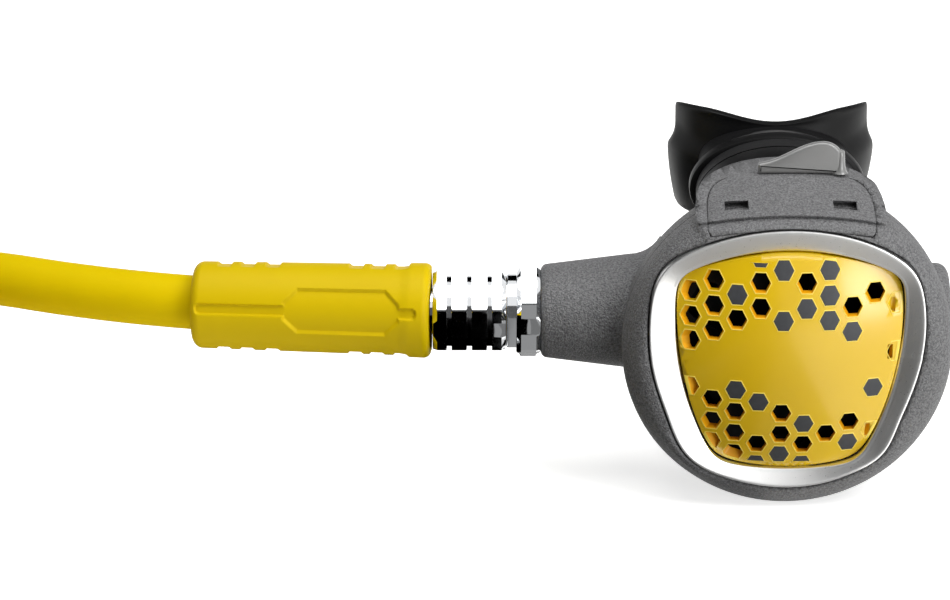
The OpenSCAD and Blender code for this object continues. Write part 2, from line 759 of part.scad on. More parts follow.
// Half width at the height v: upright below the upper corner, then fullest at v = 0.2
function lip_side(v) = flange_half + flange_bulge
    * (v < 0.2 ? 1 - pow(0.2 - v, 1.5) : 1 - ease((v - 0.2) / 0.3));
function flange_mid(u, v) =
    let (mid = (lip_top(u) + lip_low(u)) / 2, high = (lip_top(u) - lip_low(u)) / 2)
    [lip_side(v) * sin(75 * u) / sin(75), -(mid + v * high),
        lip_at + lip_sweep * pow(abs(u), 2.2) + 2 * v * v];
module lip_flange() {
    nu = 24;
    nv = 12;
    row = nv + 1;
    skins = [for (side = [0, 1], i = [0:nu], j = [0:nv])
        flange_mid(2 * i / nu - 1, 2 * j / nv - 1) + [0, 0, side * lip_t]];
    m = (nu + 1) * row;
    faces = [for (i = [0:nu - 1], j = [0:nv - 1]) let (a = i * row + j)
        each [[a, a + row + 1, a + row], [a, a + 1, a + row + 1],
            [m + a, m + a + row, m + a + row + 1], [m + a, m + a + row + 1, m + a + 1]]];
    rim = concat([for (i = [0:nu]) i * row], [for (j = [1:nv]) nu * row + j],
        [for (i = [nu - 1:-1:0]) i * row + nv], [for (j = [nv - 1:-1:1]) j]);
    walls = [for (k = [0:len(rim) - 1]) let (a = rim[k], b = rim[(k + 1) % len(rim)])
        each [[a, m + b, m + a], [a, b, m + b]]];
    polyhedron(skins, concat(faces, walls));
}

// One bite tab with its stop, on side s
module bite(s) hull() {
    translate([s * 16.6, -1, 2]) rotate([90, 0, 0])
        cylinder(r = 2, h = 3, center = true, $fn = 24);
    translate([s * 15.4, -1, bite_len]) rotate([90, 0, 0])
        cylinder(r = 1.8, h = 7, center = true, $fn = 24);
}

// Cable tie in the collar's groove, with its lock at the side
module mouthpiece_clamp() color(black) along_mouth(groove_at + 0.6) {
    linear_extrude(groove_len - 1.2) difference() {
        oval(tube_w + 2 * rubber_t - 0.2, tube_h + 2 * rubber_t - 0.2);
        oval(tube_w + 2 * rubber_t - 2.4 + 2 * fit, tube_h + 2 * rubber_t - 2.4 + 2 * fit);
    }
    // lock
    translate([-3, tube_h / 2 + rubber_t - 0.3, -0.25]) cube([6, 2.2, groove_len - 0.7]);
}

// ---------------------------------------------------------------- exhaust

hood_r = exhaust_r + gap + tee_wall;
duct_z = -case_r + 7.8;
// Skin of the tee, drawn in by d
module tee_skin(d) {
    intersection() {
        hull() {
            along_exhaust(exhaust_at - 2.5) cylinder(r = hood_r - d - 0.1, h = 5, $fn = 32);
            translate([-14, tee_y, duct_z]) rotate([0, 90, 0])
                cylinder(r = duct_r - d - 0.1, h = 28, $fn = 32);
        }
        along_exhaust(exhaust_at - 2.5 + (d > 0 ? -1 : 0)) translate([-60, -60, 0]) cube(120);
    }
}
module exhaust_tee() color(black) difference() {
    union() {
        tee_skin(0);
        translate([-duct_half, tee_y, duct_z]) rotate([0, 90, 0])
            cylinder(r = duct_r, h = 2 * duct_half);
    }
    tee_skin(tee_wall);
    along_exhaust(exhaust_at - 4) cylinder(r = exhaust_r + gap, h = 6);
    translate([-duct_half - 1, tee_y, duct_z]) rotate([0, 90, 0])
        cylinder(r = duct_r - tee_wall, h = 2 * duct_half + 2);
    translate([-60, -60, -case_r - 20]) cube([120, 160, 20]);
    difference() {
        main_form(-gap);
        along_exhaust(exhaust_at) cylinder(r = 40, h = 40);
    }
}

// Mushroom valve: disc, stem and the bulb that holds it in the hub
module exhaust_valve() color(silicone) along_exhaust(exhaust_at + 0.05) {
    rotate_extrude($fn = 72) polygon([[0, 0], [flap_r, 0], [flap_r, 0.5], [3, 1.1], [0, 1.4]]);
    translate([0, 0, -spoke_t - 1.3]) cylinder(r = flap_stem_r, h = spoke_t + 1.4, $fn = 32);
    translate([0, 0, -spoke_t - 2.6]) cylinder(r1 = 1.2, r2 = 2.1, h = 2.3, $fn = 32);
}

// ---------------------------------------------------------------- diaphragm

roll_r = 2.6;
roll_at = 22.4;
module diaphragm() color(silicone) turned_y(72) polygon(concat(
    [[0, skin_front], [roll_at - roll_r + skin_t, skin_front]],
    arc(roll_at, skin_back, roll_r - skin_t, 180, 0, 8),
    [[roll_at + roll_r - skin_t, skin_front], [bead_in_r, skin_front],
        [bead_in_r, bead_front], [cover_bore_r - gap, bead_front],
        [cover_bore_r - gap, bead_back], [bead_in_r, bead_back], [bead_in_r, skin_back]],
    arc(roll_at, skin_back, roll_r, 0, 180, 8),
    [[0, skin_back]]));

module diaphragm_plate() color(silver) flat_y(skin_back + fit, plate_back) circle(r = plate_r);

// ---------------------------------------------------------------- demand lever

lever_t = 0.7;
lever_x = barrel_end_x + gap;
lever_front = axis_y - barrel_r - 0.35;
tip_x = -4;
tip_r = 0.5;
tip_y = plate_back + rest_gap + tip_r;
washer_x = lever_x + lever_t + 0.5;
washer_t = 0.7;
nut_len = 4;
fork_half = 4.5;
arm_w = 3.2;

module demand_lever() color(steel) {
    difference() {
        translate([lever_x, lever_front - 0.6, axis_z - fork_half])
            cube([lever_t, axis_y + 2 - lever_front + 0.6, 2 * fork_half]);
        translate([lever_x - 1, axis_y - 2, axis_z - stem_r - 0.4])
            cube([3, 10, 2 * stem_r + 0.8]);
    }
    // heel that rocks on the end of the barrel
    translate([lever_x, lever_front, axis_z - fork_half])
        cylinder(r = 0.3, h = 2 * fork_half, $fn = 24);
    // pads that bear on the washer
    for (s = [-1, 1]) translate([lever_x + lever_t - 0.1, axis_y, axis_z + s * 2.6])
        rotate([90, 0, 0]) cylinder(r = 0.55, h = 1, center = true, $fn = 24);
    // arm to the middle of the diaphragm, with a rolled tip
    translate([0, 0, axis_z - arm_w / 2]) linear_extrude(arm_w) polygon([
        [lever_x + lever_t, lever_front - 0.6], [lever_x + lever_t, lever_front - 0.1],
        [lever_x, lever_front - 0.1], [tip_x, tip_y + 0.35], [tip_x, tip_y - 0.35],
        [lever_x - 2, lever_front - 0.95]]);
    translate([tip_x, tip_y, axis_z - arm_w / 2]) cylinder(r = tip_r, h = arm_w, $fn = 32);
}

module lever_washer() color(steel) difference() {
    rod_x(3.2, washer_x, washer_x + washer_t);
    rod_x(stem_r + fit, washer_x - 1, washer_x + washer_t + 1);
}
module lever_nut() color(brass) difference() {
    hex_x(7, washer_x + washer_t, washer_x + washer_t + nut_len, 0);
    rod_x(stem_r + fit, washer_x, washer_x + washer_t + nut_len + 1);
}

// ---------------------------------------------------------------- valve

module valve_barrel() color(brass) difference() {
    turned_x() polygon([[bore_r, inlet_x], [inlet_r - 0.7, inlet_x], [inlet_r, inlet_x + 0.7],
        [inlet_r, spot_x], [flange_r, spot_x], [flange_r, spot_x + flange_t],
        [barrel_r, spot_x + flange_t], [barrel_r, barrel_end_x],
        [stem_r + 0.08, barrel_end_x], [stem_r + 0.08, barrel_end_x - end_wall],
        [bore_r, barrel_end_x - end_wall]]);
    // port through which the air leaves towards the mouth
    translate([seat_x + 3, axis_y, axis_z]) rotate([-35, 0, 0])
        linear_extrude(barrel_r + 2) stadium(9, 5);
}

poppet_len = 11.6;
poppet_x = seat_x + 0.3;
seat_disc_r = 3.2;
seat_disc_t = 1.5;
spring_x = poppet_x + poppet_len;
module poppet() color(chrome) difference() {
    union() {
        intersection() {
            rod_x(bore_r - 0.06, poppet_x, spring_x);
            on_axis() translate([poppet_x - 1, -4.3, -4.3]) cube([poppet_len + 2, 8.6, 8.6]);
        }
        rod_x(stem_r, spring_x - 1, washer_x + washer_t + nut_len + 0.8);
    }
    rod_x(seat_disc_r + 0.02, poppet_x - 1, seat_x + seat_disc_t);
}
module poppet_seat() color(black) rod_x(seat_disc_r, seat_x, seat_x + seat_disc_t);
module poppet_spring() color(steel) on_axis() rotate([0, 90, 0])
    spring(3.2, 0.8, spring_x + fit, barrel_end_x - end_wall - fit, 9);

orifice_x = -52;
orifice_seal_x = -44;
module orifice() color(chrome) difference() {
    turned_x() polygon([[2.2, orifice_x], [bore_r - fit, orifice_x],
        [bore_r - fit, orifice_seal_x - 1], [bore_r - 1.3, orifice_seal_x - 1],
        [bore_r - 1.3, orifice_seal_x + 1], [bore_r - fit, orifice_seal_x + 1],
        [bore_r - fit, seat_x - 6], [3.2, seat_x - 4], [2.7, seat_x - fit], [2.2, seat_x - fit]]);
    on_axis() translate([orifice_x - 1, -0.5, -3.5]) cube([2.2, 1, 7]);
}
module seal_x(at, out_r, d) on_axis() translate([at, 0, 0]) rotate([0, 90, 0])
    ring_z(out_r - d / 2, d);
module orifice_o_ring() color(black) seal_x(orifice_seal_x, bore_r - fit, 1.15);

// ---------------------------------------------------------------- nuts and fitting

collar_r = 8.2;
nut_turn = 19.5;
hex_turn = 27.6;
collar_x = neck_x - case_nut_t - collar_t;

// A turned blank with chamfered ends that trims a hexagon's corners
module blank(r, x0, x1, c) turned_x() polygon([[0, x0], [r - c, x0], [r, x0 + c * 0.6],
    [r, x1 - c * 0.6], [r - c, x1], [0, x1]]);

module case_nut() color(chrome) difference() {
    union() {
        intersection() {
            hex_x(case_nut_af, neck_x - case_nut_t, neck_x - fit, hex_turn);
            blank(case_nut_af / sqrt(3) + 0.1, neck_x - case_nut_t, neck_x - fit, 1.1);
        }
        rod_x(collar_r, collar_x, neck_x - case_nut_t + 0.5);
    }
    rod_x(inlet_r + fit, collar_x - 1, neck_x + 1);
}

swivel_x1 = collar_x - 0.06;
swivel_x0 = swivel_x1 - swivel_len;
stem_out_r = 5.2;
shoulder_len = 2.4;
shoulder_x0 = inlet_x - shoulder_len;
groove_deep_x = 0.9;
module swivel_nut() color(chrome) difference() {
    intersection() {
        hex_x(swivel_af, swivel_x0, swivel_x1, nut_turn);
        blank(swivel_af / sqrt(3) - 0.1, swivel_x0, swivel_x1, 1.2);
    }
    for (k = [-1:1]) turned_x() translate(
        [swivel_af / 2 - groove_deep_x, (swivel_x0 + swivel_x1) / 2 + 4.45 * k - groove_w / 2])
        square([6, groove_w]);
    rod_x(inlet_r + fit, shoulder_x0 - 0.2, swivel_x1 + 1);
    rod_x(stem_out_r + fit, swivel_x0 - 1, inlet_x);
}

ferrule_x = swivel_x0 - 1.6;
hose_x = ferrule_x - ferrule_len;
fitting_seal_x = inlet_x + 4;
nose_len = 8;
module hose_fitting() color(chrome) difference() {
    turned_x() polygon([[0, hose_x], [ferrule_r, hose_x], [ferrule_r, ferrule_x - 1],
        [ferrule_r - 1, ferrule_x], [stem_out_r, ferrule_x], [stem_out_r, shoulder_x0],
        [6.4, shoulder_x0], [6.4, inlet_x - fit], [bore_r - 0.1, inlet_x - fit],
        [bore_r - 0.1, fitting_seal_x - 1], [bore_r - 1.3, fitting_seal_x - 1],
        [bore_r - 1.3, fitting_seal_x + 1], [bore_r - 0.1, fitting_seal_x + 1],
        [bore_r - 0.1, inlet_x + nose_len - 0.6], [bore_r - 0.7, inlet_x + nose_len],
        [0, inlet_x + nose_len]]);
    rod_x(2.5, hose_x + 2, inlet_x + nose_len + 1);
}
module fitting_o_ring() color(black) seal_x(fitting_seal_x, bore_r - fit, 1.15);

// ---------------------------------------------------------------- hose protector

sleeve_x = swivel_x0 - 0.2;
panel_x0 = -30.6;
panel_x1 = -5.8;
notch_w = 2.2;
notch_pitch = 4.7;
notches = [for (k = [0:2]) each [-7.2 - notch_pitch * k, 8 - sleeve_len + notch_pitch * k]];

module on_sleeve() translate([sleeve_x, axis_y, axis_z]) rotate([0, 0, -sleeve_yaw]) children();

// Turned form of the protector, drawn in by d; it narrows towards the hose
module sleeve_form(d = 0) on_sleeve() rotate([0, 90, 0]) rotate_extrude($fn = turn_fn)
    polygon(concat([[0, -sleeve_len + d]],
    arc(sleeve_tip_r - 1.6, -sleeve_len + 1.6, 1.6 - d, -90, -10, 4),
    [[sleeve_tip_r - d, -sleeve_len + 3], [sleeve_r - d - 0.15, -6], [sleeve_r - d, -5]],
    [[sleeve_r - d, 0.2], [sleeve_r - d - 1, 1], [0, 1]]));

module hose_protector() color(yellow) difference() {
    sleeve_form();
    // its end lies flat beside the swivel nut
    translate([sleeve_x, -50, -50]) cube(100);
    // sunk panel and the long groove that leads to it, on the front
    difference() {
        on_sleeve() translate([0, -5, 0]) flat_y(-10, 0) {
            translate([(panel_x0 + panel_x1) / 2, 0]) stadium(panel_x1 - panel_x0, 9.4);
            translate([panel_x0 - 9.5, 0]) rounded(20, 5.4, 1.6);
            translate([panel_x1 + 2, 0]) rounded(6, 7.4, 1.6);
        }
        sleeve_form(0.7);
    }
    // finger notches, above and below
    for (s = [-1, 1], x = notches)
        on_sleeve() translate([x - notch_w / 2, -4, s * (sleeve_r - 0.3) - 0.8])
            cube([notch_w, 8, 1.6]);
    rod_x(ferrule_r + fit, hose_x - 1, ferrule_x + 0.3);
    rod_x(stem_out_r + 0.2, ferrule_x - 1, sleeve_x + 2);
    hose_way();
}

// Way of the hose through the protector
module hose_way() {
    a = [hose_x + 1, axis_y, axis_z];
    b = [-133, 12.5, axis_z + 0.2];
    v = b - a;
    translate(a) rotate([0, 0, atan2(v[1], v[0])]) rotate([0, 90, 0])
        cylinder(r = hose_d / 2 + 0.75, h = norm(v) + 2);
}

// ---------------------------------------------------------------- hose, in the row frame

hose_points = [[-107, -17.5, 39], [-119, -16, 39], [-131, -14, 39], [-146, -10, 39],
    [-161, -4.5, 39], [-176, 2, 39], [-191, 9.5, 37.5], [-206, 17, 33], [-220, 24.5, 27.5],
    [-233, 30.5, 23], [-247, 34, 20]];

// The wound hose: it spirals in on the upper layer, climbs down in the half turn where the
// spiral reverses, and spirals out again on the floor
coil_at = [-257, -32];
coil_start = 95;
coil_turn = 625;
coil_pitch = 12.4;
layer = hose_d + 0.6;
end_rise = 2;
function coil_point(w) =
    let (mid = coil_turn / 2, r = coil_r + coil_pitch * abs(w - mid) / 360,
        down = ease((w - mid + 90) / 180), up = ease((w - coil_turn + 60) / 60),
        a = coil_start + w)
    [coil_at[0] + r * cos(a), coil_at[1] + r * sin(a),
        hose_d / 2 + layer * (1 - down) + end_rise * up];
coil_end = coil_point(coil_turn);
coil_line = concat([for (w = [0:15:coil_turn]) coil_point(w)],
    [coil_end, coil_end + [0, hose_d, 0]]);
// Least distance between two stretches of the wound hose that aren't next to each other
coil_gap = min([for (i = [0:len(coil_line) - 1], j = [i + 8:1:len(coil_line) - 1])
    norm(coil_line[i] - coil_line[j])]) - hose_d;
echo(coil_gap = coil_gap);

lead = concat([[hose_x, axis_y - tee_y, axis_z + case_r]], hose_points, [coil_point(0)]);
echo(hose_length = path_len(lead) + path_len(coil_line));
function path_len(p) = let (n = len(p) - 1) [for (i = [1:n]) norm(p[i] - p[i - 1])]
    * [for (i = [1:n]) 1];
coil_head = [-sin(coil_start), cos(coil_start), 0];

module hose() color(yellow) tube(lead, hose_d / 2, 12, 0, [-1, 0, 0], coil_head);
module hose_coil() color(yellow) tube(coil_line, hose_d / 2, 6, 30, coil_head, [0, 1, 0]);

// What is crimped on the far end lies on the floor along Y
module far_frame() translate([coil_end[0], coil_end[1] + hose_d, coil_end[2]])
    rotate([-90, 0, 0]) children();
far_hex_len = 6;
far_hex_af = 14;
far_x1 = ferrule_len;
far_x2 = far_x1 + far_hex_len;
module far_ferrule() color(chrome) far_frame() rotate_extrude($fn = 72)
    polygon([[0, 0], [ferrule_r - 0.6, 0], [ferrule_r, 0.8], [ferrule_r, far_x1 - 1],
        [ferrule_r - 1, far_x1], [0, far_x1]]);
module far_fitting() color(chrome) far_frame() difference() {
    union() {
        translate([0, 0, far_x1]) rotate([0, 0, 30])
            cylinder(r = far_hex_af / sqrt(3), h = far_hex_len, $fn = 6);
        translate([0, 0, far_x2 - 0.5]) cylinder(r = port_r - 1.1, h = 3.5);
        translate([0, 0, far_x2 + 2.4]) cylinder(r = port_r, h = port_len);
    }
    translate([0, 0, far_x1 + 2]) cylinder(r = 2.4, h = 40);
}
module far_o_ring() color(black) far_frame() translate([0, 0, far_x2 + 1])
    ring_z(port_r - 0.2, 1.7);

// ---------------------------------------------------------------- the part

to_row() case();
to_row() front_cover();
to_row() trim_frame();
to_row() purge_button();
to_row() purge_spring();
to_row() spring_carrier();
to_row() top_clip();
to_row() dive_lever();
to_row() dive_o_ring();
to_row() deflector_vane();
to_row() mouthpiece();
to_row() mouthpiece_clamp();
to_row() exhaust_tee();
to_row() exhaust_valve();
to_row() diaphragm();
to_row() diaphragm_plate();
to_row() demand_lever();
to_row() lever_washer();
to_row() lever_nut();
to_row() valve_barrel();
to_row() poppet();
to_row() poppet_seat();
to_row() poppet_spring();
to_row() orifice();
to_row() orifice_o_ring();
to_row() case_nut();
to_row() swivel_nut();
to_row() hose_fitting();
to_row() fitting_o_ring();
to_row() hose_protector();
hose();
hose_coil();
far_ferrule();
far_fitting();
far_o_ring();
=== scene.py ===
import json
import math

import bmesh
import bpy
import numpy as np
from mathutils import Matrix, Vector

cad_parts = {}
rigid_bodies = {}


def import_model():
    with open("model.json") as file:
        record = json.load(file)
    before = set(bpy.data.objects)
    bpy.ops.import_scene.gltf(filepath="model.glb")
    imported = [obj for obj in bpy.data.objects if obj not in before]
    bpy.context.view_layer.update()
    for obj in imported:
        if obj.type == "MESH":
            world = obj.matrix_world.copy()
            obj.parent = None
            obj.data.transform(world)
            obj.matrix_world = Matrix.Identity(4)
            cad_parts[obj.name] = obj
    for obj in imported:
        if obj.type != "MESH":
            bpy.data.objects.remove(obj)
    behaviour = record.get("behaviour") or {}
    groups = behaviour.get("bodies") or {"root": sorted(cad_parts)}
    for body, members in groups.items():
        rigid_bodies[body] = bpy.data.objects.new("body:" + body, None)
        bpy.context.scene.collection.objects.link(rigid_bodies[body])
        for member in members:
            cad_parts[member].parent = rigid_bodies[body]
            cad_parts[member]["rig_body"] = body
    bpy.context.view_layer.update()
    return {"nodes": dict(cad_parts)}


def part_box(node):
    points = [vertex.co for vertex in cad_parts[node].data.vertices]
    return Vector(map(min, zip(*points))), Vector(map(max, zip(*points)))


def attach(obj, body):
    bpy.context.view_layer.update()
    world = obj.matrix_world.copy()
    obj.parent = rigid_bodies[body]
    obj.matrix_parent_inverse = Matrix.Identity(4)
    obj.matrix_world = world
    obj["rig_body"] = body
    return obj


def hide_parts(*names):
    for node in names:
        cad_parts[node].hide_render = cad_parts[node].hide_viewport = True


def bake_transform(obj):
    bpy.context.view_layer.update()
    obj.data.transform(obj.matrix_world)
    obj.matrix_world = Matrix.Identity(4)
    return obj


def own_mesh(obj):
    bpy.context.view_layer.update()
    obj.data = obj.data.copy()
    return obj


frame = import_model()
nodes = frame["nodes"]

# ---------------------------------------------------------------- camera and studio
# The regulator stands on a pale floor. The camera looks slightly down on the purge button.
camera = bpy.data.objects.new("camera", bpy.data.cameras.new("camera"))
bpy.context.scene.collection.objects.link(camera)
camera.location = (-0.06802, -0.8719, 0.3433)
camera.rotation_euler = (math.radians(70.5), 0, 0)
camera.data.lens = 155.2
camera.data.sensor_width = 36
bpy.context.scene.camera = camera
bpy.context.scene.view_settings.view_transform = "Standard"


def linear(code):
    """An sRGB hex colour as linear RGBA: c / 12.92 up to 0.04045, and above it
    ((c + 0.055) / 1.055) ** 2.4."""
    c = np.array([int(code[i:i + 2], 16) for i in (1, 3, 5)]) / 255
    c = np.where(c <= 0.04045, c / 12.92, ((c + 0.055) / 1.055) ** 2.4)
    return (*c.tolist(), 1.0)


def add(tree, kind, sockets=None, **settings):
    """Adds a node, sets its properties, and gives each named socket a value or a link."""
    n = tree.nodes.new("ShaderNode" + kind)
    for key, value in settings.items():
        setattr(n, key, value)
    for key, value in (sockets or {}).items():
        if isinstance(value, bpy.types.NodeSocket):
            tree.links.new(value, n.inputs[key])
        else:
            n.inputs[key].default_value = value
    return n


def material(name, colour, **sockets):
    """A material with one Principled shader of the given colour and socket values."""
    m = bpy.data.materials.new(name)
    m.use_nodes = True
    shader = m.node_tree.nodes["Principled BSDF"]
    shader.inputs["Base Color"].default_value = linear(colour)
    for key, value in sockets.items():
        shader.inputs[key.replace("_", " ")].default_value = value
    return m, m.node_tree, shader


# Painted sweep: matt white; the camera and polished metal see it brighter than it lights
floor_paint, tree, shader = material("matt_white_sweep", "#f4f4f2", Roughness=0.9)
path = add(tree, "LightPath")
seen = add(tree, "Math", {0: path.outputs["Is Camera Ray"], 1: path.outputs["Is Glossy Ray"]},
           operation="MAXIMUM")
glow = add(tree, "Emission", {"Color": (1, 1, 1, 1), "Strength": 0.7})
lit = add(tree, "AddShader", {0: shader.outputs[0], 1: glow.outputs[0]})
mixed = add(tree, "MixShader", {0: seen.outputs[0], 1: shader.outputs[0], 2: lit.outputs[0]})
tree.links.new(mixed.outputs[0], tree.nodes["Material Output"].inputs["Surface"])
floor_mesh = bpy.data.meshes.new("floor")
floor_mesh.from_pydata([(-6, -4, 0), (6, -4, 0), (6, 8, 0), (-6, 8, 0)], [], [(0, 1, 2, 3)])
floor_mesh.materials.append(floor_paint)
floor = bpy.data.objects.new("floor", floor_mesh)
bpy.context.scene.collection.objects.link(floor)

# Cards that only show in reflections, as beside a product table: black and grey ones on the
# floor in front, one standing in front at the left, a bright one at the right, and a black one
# high behind. Each gives off an even light of its level upwards or to the object, and is clear
# from its back. The dimming card lies under the case's neck, shows in no reflection and only
# keeps the floor's light off what is above it.
card_z, near_y, case_y = 0.001, -0.7, -0.043
black_x, nut_x, dark_x, grey_x = -0.0605, -0.048, -0.01, 0.019
for name, level, low, high in (
        ("black_floor_card", 0.0, (-0.6, near_y, card_z), (black_x, 0.1, card_z)),
        ("dimming_floor_card", 0.0, (-0.08, -0.3, 0.0005), (-0.005, 0.2, 0.0005)),
        ("nut_floor_card", 0.33, (black_x, near_y, card_z), (nut_x, 0.03, card_z)),
        ("dark_floor_card", 0.2, (nut_x, near_y, card_z), (dark_x, case_y, card_z)),
        ("grey_floor_card", 0.38, (dark_x, near_y, card_z), (grey_x, case_y, card_z)),
        ("side_card", 0.1, (-0.012, near_y, card_z), (-1.0, near_y, 0.5)),
        ("bright_card", 3.6, (0.64, near_y, 0.04), (0.3, near_y, 0.36)),
        ("back_card", 0.0, (-1.0, 0.6, 0.25), (1.0, 0.6, 0.9))):
    card_paper, tree, shader = material(name + "_paper", "#000000")
    even_grey = add(tree, "Emission", {"Color": (1, 1, 1, 1), "Strength": level})
    clear = add(tree, "BsdfTransparent")
    side = add(tree, "NewGeometry")
    shown = add(tree, "MixShader", {0: side.outputs["Backfacing"], 1: even_grey.outputs[0],
                                    2: clear.outputs[0]})
    tree.links.new(shown.outputs[0], tree.nodes["Material Output"].inputs["Surface"])
    corners = [low, (high[0], low[1], low[2]), high, (low[0], high[1], high[2])]
    card_mesh = bpy.data.meshes.new(name)
    card_mesh.from_pydata(corners, [], [(0, 1, 2, 3)])
    card_mesh.materials.append(card_paper)
    card = bpy.data.objects.new(name, card_mesh)
    bpy.context.scene.collection.objects.link(card)
    card.visible_camera = card.visible_shadow = False
    card.visible_diffuse = name == "dimming_floor_card"
    card.visible_glossy = name != "dimming_floor_card"
    card.visible_transmission = card.visible_volume_scatter = False

# White studio walls: strength 1 to the camera and in reflections, and less as a light
world = bpy.data.worlds.new("studio")
bpy.context.scene.world = world
world.use_nodes = True
sky = world.node_tree.nodes["Background"]
sky.inputs["Color"].default_value = (1, 1, 1, 1)
path = add(world.node_tree, "LightPath")
seen = add(world.node_tree, "Math", {0: path.outputs["Is Camera Ray"],
                                     1: path.outputs["Is Glossy Ray"]}, operation="MAXIMUM")
seen = add(world.node_tree, "Math", {0: seen.outputs[0], 1: path.outputs["Is Transmission Ray"]},
           operation="MAXIMUM")
level = add(world.node_tree, "MapRange", {0: seen.outputs[0], 3: 0.11, 4: 1.0})
world.node_tree.links.new(level.outputs[0], sky.inputs["Strength"])


def softbox(name, place, aim, size, power):
    """A square area light at a place, turned to face a point."""
    light = bpy.data.lights.new(name, "AREA")
    light.size, light.energy = size, power
    o = bpy.data.objects.new(name, light)
    o.location = place
    away = np.array(place) - np.array(aim)
    o.rotation_euler = (math.acos(away[2] / np.linalg.norm(away)), 0,
                        math.atan2(away[1], away[0]) + math.pi / 2)
    bpy.context.scene.collection.objects.link(o)


softbox("key_box", (0.4, -0.32, 0.6), (0, 0, 0.04), 0.4, 3.7)
softbox("right_box", (0.46, -0.62, 0.14), (0, 0, 0.04), 0.3, 1.9)
softbox("top_box", (-0.12, -0.06, 0.8), (-0.12, 0, 0.04), 0.6, 4.2)

# ---------------------------------------------------------------- hose
# Low pressure hose of yellow thermoplastic rubber over a braid, smooth and slightly glossy.
# It leaves the crimped ferrule at the valve and is wound up on the floor, in two layers.
MM = 0.001


def shell(name, grid, paint, loop=False, sharp=32):
    """A mesh over one or more grids of points [along, around], in millimetres. Four neighbours
    make a quad, and each row closes into a ring. loop closes the mesh along as well; otherwise
    each end ring is closed by one face. The faces are turned so that the volume inside, which
    goes as the sum of (a x b) . c over the faces, is positive."""
    points, faces = [], []
    for g in grid if isinstance(grid, list) else [grid]:
        n, m, _ = g.shape
        i = np.arange(n * m).reshape(n, m)
        down, right = np.roll(i, -1, 0), np.roll(i, -1, 1)
        both = np.roll(down, -1, 1)
        quads = np.stack([i, right, both, down], -1)[:n if loop else n - 1].reshape(-1, 4)
        c = (g - g.mean((0, 1))).reshape(-1, 3)
        a, b, d, e = (c[quads[:, k]] for k in range(4))
        volume = (np.cross(a, b) * d).sum() + (np.cross(a, d) * e).sum()
        caps = [] if loop else [i[0, ::-1], i[-1]]
        for cap in caps:
            centre = c[cap].mean(0)
            volume += (np.cross(c[cap], c[np.roll(cap, -1)]) * centre).sum()
        turned_in = -1 if volume < 0 else 1
        start = sum(len(q) for q in points)
        faces += [(f[::turned_in] + start).tolist() for f in [*quads, *caps]]
        points.append(g.reshape(-1, 3) * MM)
    mesh = bpy.data.meshes.new(name)
    mesh.from_pydata(np.vstack(points).tolist(), [], faces)
    mesh.polygons.foreach_set("use_smooth", np.ones(len(mesh.polygons), bool))
    mesh.set_sharp_from_angle(angle=math.radians(sharp))
    mesh.materials.append(paint)
    o = bpy.data.objects.new(name, mesh)
    bpy.context.scene.collection.objects.link(o)
    return o


def sweep(line, radius, sides):
    """Rings of a round tube about a line of points: each ring is square to the line, with its
    side level and its rise square to both."""
    t = np.gradient(line, axis=0)
    t /= np.linalg.norm(t, axis=1, keepdims=True)
    side = np.cross([0, 0, 1], t)
    side /= np.linalg.norm(side, axis=1, keepdims=True)
    rise = np.cross(t, side)
    a = np.linspace(0, 2 * np.pi, sides, endpoint=False)[:, None]
    return line[:, None] + radius * (np.cos(a) * side[:, None] + np.sin(a) * rise[:, None])


def spline(points, step):
    """A smooth curve through points: between two of them a cubic whose slope at each point is
    half the chord of its neighbours, sampled about once every step."""
    p = np.array(points, float)
    ends = np.vstack([2 * p[0] - p[1], p, 2 * p[-1] - p[-2]])
    slope = (ends[2:] - ends[:-2]) / 2
    out = []
    for k in range(len(p) - 1):
        n = max(2, round(np.linalg.norm(p[k + 1] - p[k]) / step))
        s = np.linspace(0, 1, n, endpoint=False)[:, None]
        out.append((2 * s**3 - 3 * s**2 + 1) * p[k] + (s**3 - 2 * s**2 + s) * slope[k]
                   + (3 * s**2 - 2 * s**3) * p[k + 1] + (s**3 - s**2) * slope[k + 1])
    return np.vstack([*out, p[-1:]])


hose_d = 12.0
valve_axis = np.array([0, -19.0, 38.8])
stem_x = -93.96
hose_points = [(-107, -17.5, 39), (-119, -16, 39), (-131, -14, 39), (-146, -10, 39),
               (-161, -4.5, 39), (-176, 2, 39), (-191, 9.5, 37.5), (-206, 17, 33),
               (-220, 24.5, 27.5), (-233, 30.5, 23), (-247, 34, 20)]
coil_middle, coil_start, coil_turn = np.array([-257.0, -32.0]), 95.0, 625.0
coil_r, coil_pitch, coil_layer, end_rise = 57.0, 12.4, 12.6, 2.0


def ease(t):
    """A step from 0 to 1 that starts and ends level."""
    return 0.5 - 0.5 * np.cos(np.pi * np.clip(t, 0, 1))


def coil(w):
    """The wound centreline at turn angle w in degrees: the radius shrinks to the middle of the
    winding and grows again, while the height steps down by one layer at that middle."""
    middle = coil_turn / 2
    r = coil_r + coil_pitch * np.abs(w - middle) / 360
    a = np.radians(coil_start + w)
    z = (hose_d / 2 + coil_layer * (1 - ease((w - middle + 90) / 180))
         + end_rise * ease((w - coil_turn + 60) / 60))
    return np.stack([coil_middle[0] + r * np.cos(a), coil_middle[1] + r * np.sin(a), z], -1)


wound = coil(np.linspace(0, coil_turn, 157))
wound = np.vstack([wound, wound[-1] + [[0, 4, 0], [0, 8, 0], [0, 12, 0]]])
hose_start = valve_axis + [stem_x, 0, 0]
hose_line = np.vstack([spline([hose_start, *hose_points, wound[0]], 5)[:-1], wound])

